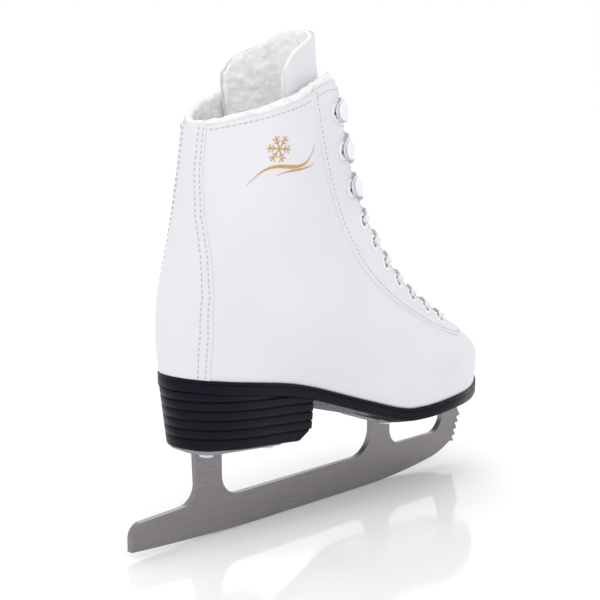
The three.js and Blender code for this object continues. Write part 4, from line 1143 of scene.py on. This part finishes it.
def sole_edge(angle, grow):
    """The feather line in plan, moved sideways along its own normal."""
    point = boot_face(angle, np.zeros_like(angle))
    slope = boot_face(angle + 0.01, np.zeros_like(angle)) - boot_face(angle - 0.01, np.zeros_like(angle))
    outward = unit(np.stack([-slope[..., 1], slope[..., 0]], axis=-1))
    return point[..., :2] + outward * np.asarray(grow, float)[..., None]


def sole_middle(x):
    """Height of the sole's middle: parallel to the feather line, then down to the seat."""
    plain = feather_z(x) - SOLE_EDGE
    share = np.clip((x - FORE_SEAT_X[0]) / (FORE_SEAT_X[1] - FORE_SEAT_X[0]), 0, 1)
    share = share * share * (3 - 2 * share)
    return plain + (np.minimum(plain, FORE_SEAT_Z) - plain) * share


def outline_body(profile, rows, flat_bottom=None):
    """A closed body under the feather line. Each row of it crosses the foot: down the inner
    edge by the profile of (growth, drop), across the middle, and up the outer edge."""
    theta = np.linspace(0.0, math.pi, rows)
    grow, drop = np.asarray(profile, float).T
    sides = []
    for side in (1, -1):
        plan = np.stack([sole_edge(side * theta, g + 0 * theta) for g in grow], axis=1)
        sides.append(np.concatenate([plan, (feather_z(plan[..., 0]) + drop)[..., None]], axis=-1))
    inner, outer = sides
    if flat_bottom is not None:
        y_in, y_out = inner[:, -1, 1], outer[:, -1, 1]
        middle, half = (y_in + y_out) / 2, (y_in - y_out) / 2
        flat = np.maximum(0.35 * half, half - BEVEL)
        full = np.clip(half / SOLE_FULL_HALF, 0, 1)

        def with_flat(edge, sign):
            x = edge[:, -1, 0]
            z = edge[:, -1, 2] + (flat_bottom(x) - edge[:, -1, 2]) * full
            return np.concatenate([edge, np.stack([x, middle + sign * flat, z], axis=1)[:, None]], axis=1)

        inner, outer = with_flat(inner, 1), with_flat(outer, -1)
    ring = np.concatenate([inner, outer[:, ::-1]], axis=1)
    return ring.reshape(-1, 3), grid_faces(rows, ring.shape[1], close_columns=True)


edge_profile = [
    (WELT - 0.7, 0.15),
    (WELT - 0.15, -0.1),
    (WELT, -0.6),
    (WELT, -1.5),
    (WELT - 0.4, -1.7),
    (WELT - 0.4, -2.0),
    (WELT, -2.2),
    (WELT, -6.7),
    (WELT - 0.3, -7.3),
    (WELT - 0.9, -SOLE_EDGE),
]
outsole = mesh_piece("moulded_outsole", *outline_body(edge_profile, 260, sole_middle), rubber)
join_doubles(outsole, 0.003, outward=True)
with_modifier(outsole, "BEVEL", width=0.0002, segments=1, limit_method="ANGLE", angle_limit=0.6)
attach(outsole, "boot")
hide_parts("outsole")

# ------------------------------------------------------------------ footbed
# A fleece-covered insole that lies loose on the insole board.
footbed = mesh_piece(
    "fleece_footbed",
    *outline_body([(-11.0, 6.4), (-9.6, 6.1), (-9.1, 5.2), (-9.1, 3.4)], 120),
    fleece,
)
join_doubles(footbed, 0.003, outward=True)
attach(footbed, "boot")
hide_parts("footbed")

# ------------------------------------------------------------------ heel block
# A moulded black heel, tilted a little, narrower at its base, with six grooves round it
# and a breast cut back at the bottom. It is nailed up through the outsole.
HEEL_SEAT, HEEL_TILT = (-65.0, 52.7), math.atan(0.077)
HEEL_BREAST, HEEL_LIFT, HEEL_BOTTOM_LIFT, HEEL_GROOVES, HEEL_GROOVE = -22.0, 5.36, 6.4, 6, 0.9
HEEL_HEIGHT, HEEL_BASE_INSET = 38, 4.2
BREAST_CUT, BREAST_CUT_TOP, BREAST_CUT_RISE, BREAST_HOLLOW = 11, 7.3, 9, 1.6
# The heel's wall from its base up (height, inset), and the wall of one groove about its middle.
groove = [(-2.4, 0), (-0.75, 0), (-0.45, 0.25), (-0.25, HEEL_GROOVE)]
groove += [(0.25, HEEL_GROOVE), (0.45, 0.25), (0.75, 0)]
heel_wall = [(0, 2), (0, 1), (0.25, 0.35), (0.9, 0), (2, 0)]
for i in range(HEEL_GROOVES):
    heel_wall += [(HEEL_BOTTOM_LIFT + i * HEEL_LIFT + h, inset) for h, inset in groove]
heel_wall += [(37, 0), (41, 0), (60, 0)]
heel_h, heel_inset = (part[:, None] for part in np.array(heel_wall, float).T)
breast_x = HEEL_BREAST - BREAST_CUT * np.clip((BREAST_CUT_TOP - heel_h) / BREAST_CUT_RISE, 0, 1)
limit = np.arccos(1 - 2 * (breast_x - LEVEL_BACK[0, 0]) / (LEVEL_FRONT[0, 0] - LEVEL_BACK[0, 0]))
u_turn = np.linspace(-1, 1, 121)[None] * limit
lean = np.maximum(0, 1 - heel_h / HEEL_HEIGHT) * HEEL_BASE_INSET
u_plan = sole_edge(u_turn, WELT - lean - heel_inset + 0 * u_turn)
across = np.linspace(0, 1, 26)[1:-1]
breast = u_plan[:, -1:] * (1 - across)[None, :, None] + u_plan[:, :1] * across[None, :, None]
breast[..., 0] -= BREAST_HOLLOW * np.sin(math.pi * across)[None] ** 0.8
plan = np.concatenate([u_plan, breast], axis=1)
run_x = plan[..., 0] - HEEL_SEAT[0]
under_sole = feather_z(plan[..., 0]) - SOLE_EDGE + 0.4
top_h = (under_sole - HEEL_SEAT[1] + run_x * math.sin(HEEL_TILT)) / math.cos(HEEL_TILT)
height = np.minimum(heel_h + 0 * run_x, top_h)
heel_points = np.stack(
    [
        HEEL_SEAT[0] + run_x * math.cos(HEEL_TILT),
        plan[..., 1],
        HEEL_SEAT[1] - run_x * math.sin(HEEL_TILT) + height * math.cos(HEEL_TILT),
    ],
    axis=-1,
)
middle = heel_points[0].mean(axis=0)
heel_points = np.concatenate([np.broadcast_to(middle, heel_points[:1].shape), heel_points], axis=0)
heel = sheet("grooved_heel", heel_points, rubber, close_columns=True)
join_doubles(heel, 0.004, outward=True)
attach(heel, "boot")
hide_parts("heel_block")

# ------------------------------------------------------------------ waist cover
# A crowned skin of speckled grey rubber under the arch, between the heel and the seat of
# the sole plate.
grain_grey = Look("speckled_grey_rubber", (0.2, 0.2, 0.215), 0.8)
at = grain_grey.place()
specks = grain_grey.cells(at, 0.75)
patches = grain_grey.noise(at, 1.6, 4, 0.7)
tint = grain_grey.spread(specks * 0.6 + patches * 0.6, 0.35, 0.75)
grain_grey.feed("Base Color", grain_grey.mix(tint, (0.05, 0.05, 0.07), (0.27, 0.27, 0.32)))
grain_grey.bump(specks + patches, 0.25, 0.9)
COVER_X, COVER_HALF, COVER_Y, COVER_DEPTH = (-19, 26), (17, 20), -3, 5.5
cover_share = np.linspace(0, 1, 60)[:, None]
cover_x = COVER_X[0] + (COVER_X[1] - COVER_X[0]) * cover_share
cover_across = np.linspace(-1, 1, 60)[None]
cover_half = COVER_HALF[0] + (COVER_HALF[1] - COVER_HALF[0]) * cover_share
crown = 1 - np.abs(cover_across) ** 2.2
cover_drop = 0.2 + (0.6 + COVER_DEPTH * (1 - 0.45 * cover_share)) * crown
cover_y = COVER_Y + cover_half * cover_across
cover = np.stack(np.broadcast_arrays(cover_x, cover_y, sole_middle(cover_x) - cover_drop), axis=-1)
waist = sheet("waist_skin", cover, grain_grey, flip=True)
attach(waist, "boot")
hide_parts("waist_cover")

# ------------------------------------------------------------------ blade
# A runner, two posts and a toe with five picks, cut from one 4 mm steel plate, brushed
# along its length.
ICE_FLAT, ROCKER_RADIUS, SPIN_ROCKER_RADIUS = (-30, 50), 1400, 417
TOE_FROM, TOE_RADIUS, TOE_TO, RUNNER_TOP, TAIL_X = 115, 51, 135.4, 19.9, -132.6
BLADE_THICKNESS, PLATE_THICKNESS, GAP = 4.0, 2.2, 0.3
steel = Look("brushed_steel", (0.25, 0.235, 0.24), 0.3, {"Metallic": 1.0})
strokes = steel.noise(steel.place((0.012, 1, 1)), 0.35, 4, 0.7)
haze = steel.noise(steel.place(), 22, 3)
steel.tint(strokes, 0.3, 0.7, (0.2, 0.187, 0.195), (0.285, 0.27, 0.28))
steel.polish(strokes * 0.7 + haze * 0.3, 0.24, 0.42)
steel.bump(strokes, 0.03, 0.6)


def running_edge(x):
    """Flat at the ice contact, a long rocker behind it, and tighter ones to the toe: each
    height is the square of the distance over twice the radius."""
    rear = np.maximum(0, ICE_FLAT[0] - x) ** 2 / (2 * ROCKER_RADIUS)
    spin = np.maximum(0, np.minimum(x, TOE_FROM) - ICE_FLAT[1]) ** 2 / (2 * SPIN_ROCKER_RADIUS)
    beyond = np.maximum(0, x - TOE_FROM)
    toe_slope = (TOE_FROM - ICE_FLAT[1]) / SPIN_ROCKER_RADIUS
    return rear + spin + toe_slope * beyond + beyond**2 / (2 * TOE_RADIUS)


def filleted(corners, steps=12):
    """A closed outline through corners (x, y, radius), each rounded by an arc."""
    points = []
    for i, (x, y, radius) in enumerate(corners):
        corner = np.array([x, y], float)
        before = unit(np.array(corners[i - 1][:2], float) - corner)
        after = unit(np.array(corners[(i + 1) % len(corners)][:2], float) - corner)
        if not radius:
            points.append(corner[None])
            continue
        half = math.acos(max(-1, min(1, before @ after))) / 2
        centre = corner + unit(before + after) * radius / math.sin(half)
        start = corner + before * radius / math.tan(half) - centre
        end = corner + after * radius / math.tan(half) - centre
        t = np.linspace(0, 1, steps)[:, None]
        span = math.pi - 2 * half
        points.append(centre + (np.sin((1 - t) * span) * start + np.sin(t * span) * end) / math.sin(span))
    return np.vstack(points)


def cut_plate(name, outline, low, high, bevel, look, turn):
    """A flat outline extruded between two heights, its edges bevelled, then turned."""
    curve = bpy.data.curves.new(name, "CURVE")
    curve.dimensions, curve.fill_mode = "2D", "BOTH"
    spline = curve.splines.new("POLY")
    spline.points.add(len(outline) - 1)
    corners = np.column_stack([outline / 1000, np.zeros(len(outline)), np.ones(len(outline))])
    spline.points.foreach_set("co", corners.ravel())
    spline.use_cyclic_u = True
    curve.extrude = ((high - low) / 2 - bevel) / 1000
    curve.bevel_depth, curve.bevel_resolution, curve.offset = bevel / 1000, 2, -bevel / 1000
    drawn = bpy.data.objects.new(name + "_line", curve)
    bpy.context.scene.collection.objects.link(drawn)
    mesh = bpy.data.meshes.new_from_object(drawn)
    bpy.data.objects.remove(drawn)
    points = np.empty(len(mesh.vertices) * 3)
    mesh.vertices.foreach_get("co", points)
    points = points.reshape(-1, 3) * 1000 + [0, 0, (low + high) / 2]
    mesh.vertices.foreach_set("co", (turn(points) / 1000).ravel())
    mesh.materials.clear()
    mesh.materials.append(look.material)
    mesh.name = name
    piece = bpy.data.objects.new(name, mesh)
    bpy.context.scene.collection.objects.link(piece)
    join_doubles(piece, 0.002, outward=True)
    piece.data.polygons.foreach_set("use_smooth", [False] * len(piece.data.polygons))
    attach(piece, "boot")
    return piece


sole_plate_low = FORE_SEAT_Z - GAP - PLATE_THICKNESS
heel_under = lambda x: HEEL_SEAT[1] - (x - HEEL_SEAT[0]) * math.tan(HEEL_TILT) - GAP - PLATE_THICKNESS
edge_x = np.concatenate(
    [np.linspace(TAIL_X, ICE_FLAT[0], 30), np.linspace(*ICE_FLAT, 4)[1:], np.linspace(54, TOE_TO, 40)]
)
# Toe picks: the lowest one's tip and the notch above it, and the step from each to the next.
PICKS, PICK_TIP, PICK_NOTCH, PICK_STEP = 5, (139.7, 11.5), (137.6, 15.3), (1.55, 4.25)
pick_points = np.concatenate([PICK_TIP, PICK_NOTCH]) + np.arange(PICKS)[:, None] * np.tile(PICK_STEP, 2)
blade_corners = [(x, z, 0) for x, z in zip(edge_x, running_edge(edge_x))]
blade_corners += [(x, z, 0) for x, z in pick_points.reshape(-1, 2)]
blade_corners += [
    (142.5, 34.6, 0),
    (141, sole_plate_low, 0),
    (129.5, sole_plate_low, 0),
    (124.5, 21.2, 12),
    (74.6, 21.2, 11),
    (73.8, sole_plate_low, 0),
    (56.8, sole_plate_low, 0),
    (56.8, RUNNER_TOP, 16),
    (-68.1, RUNNER_TOP, 13),
    (-68.1, heel_under(-68.1), 0),
    (-87.6, heel_under(-87.6), 0),
    (-86.2, RUNNER_TOP + 1, 11),
    (TAIL_X, RUNNER_TOP - 1.2, 8),
]
upright = lambda p: np.stack([p[:, 0], -p[:, 2], p[:, 1]], axis=1)
blade = cut_plate(
    "steel_blade", filleted(blade_corners), -BLADE_THICKNESS / 2, BLADE_THICKNESS / 2, 0.25, steel, upright
)
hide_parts("blade")

# ------------------------------------------------------------------ sole plate and heel plate
# Pressed steel plates welded on top of the posts and screwed up into the sole and heel.
plate_steel = Look("satin_plate_steel", (0.3, 0.29, 0.3), 0.36, {"Metallic": 1.0})
cloud = plate_steel.noise(plate_steel.place(), 2.2, 4, 0.65)
plate_steel.polish(cloud, 0.3, 0.48)
plate_steel.bump(cloud, 0.05, 0.5)
plate_half = [(47, -21, 9), (90.7, -25, 30), (144.2, -16, 11)]
plate_outline = filleted(plate_half + [(x, -y, radius) for x, y, radius in plate_half[::-1]])
sole_plate_top = sole_plate_low + PLATE_THICKNESS
sole_plate = cut_plate(
    "front_plate", plate_outline, sole_plate_low, sole_plate_top, 0.35, plate_steel, lambda p: p
)
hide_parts("sole_plate")


def onto_heel(p):
    """Heel plate points: turned by the heel's tilt about its seat."""
    c, s = math.cos(HEEL_TILT), math.sin(HEEL_TILT)
    x, z = HEEL_SEAT[0] + p[:, 0] * c + p[:, 2] * s, HEEL_SEAT[1] - p[:, 0] * s + p[:, 2] * c
    return np.stack([x, p[:, 1], z], 1)


heel_outline = filleted([(-31, -17.5, 13), (31, -19, 6), (31, 19, 6), (-31, 17.5, 13)])
heel_plate = cut_plate(
    "rear_plate", heel_outline, -GAP - PLATE_THICKNESS, -GAP, 0.35, plate_steel, onto_heel
)
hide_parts("heel_plate")

# ------------------------------------------------------------------ screws and inner pieces
# Zinc screws through both plates. Inside, unseen, the heel counter, toe puff and insole
# board of pressed fibre, the foam round the ankle, and the steel shank.
zinc = Look("zinc_screw", (0.62, 0.63, 0.65), 0.28, {"Metallic": 1.0})
turning = zinc.noise(zinc.place(), 0.8, 3)
zinc.polish(turning, 0.2, 0.4)
zinc.bump(turning, 0.04, 0.5)
fibre = Look("pressed_fibre", (0.42, 0.32, 0.21), 0.85)
shreds = fibre.noise(fibre.place((1, 0.25, 1)), 0.9, 5, 0.7)
fibre.tint(shreds, 0.3, 0.7, (0.33, 0.25, 0.16), (0.5, 0.4, 0.28))
fibre.bump(shreds, 0.2, 0.8)
foam = Look("ankle_foam", (0.72, 0.68, 0.55), 0.9)
pores = foam.cells(foam.place(), 0.8)
foam.feed("Base Color", foam.mix(pores, (0.58, 0.54, 0.42), (0.76, 0.72, 0.6)))
foam.bump(pores, 0.3, 0.8)


def dressed(look, *names):
    """Gives CAD pieces a finish in their own material slots."""
    for name in names:
        data = nodes[name].data
        if not data.materials:
            data.materials.append(look.material)
        for k in range(len(data.materials)):
            data.materials[k] = look.material


dressed(zinc, *[f"sole_screw_{i}" for i in range(1, 7)], *[f"heel_screw_{i}" for i in range(1, 5)])
dressed(fibre, "heel_counter", "toe_puff", "insole_board")
dressed(foam, "collar_padding")
dressed(plate_steel, "steel_shank")
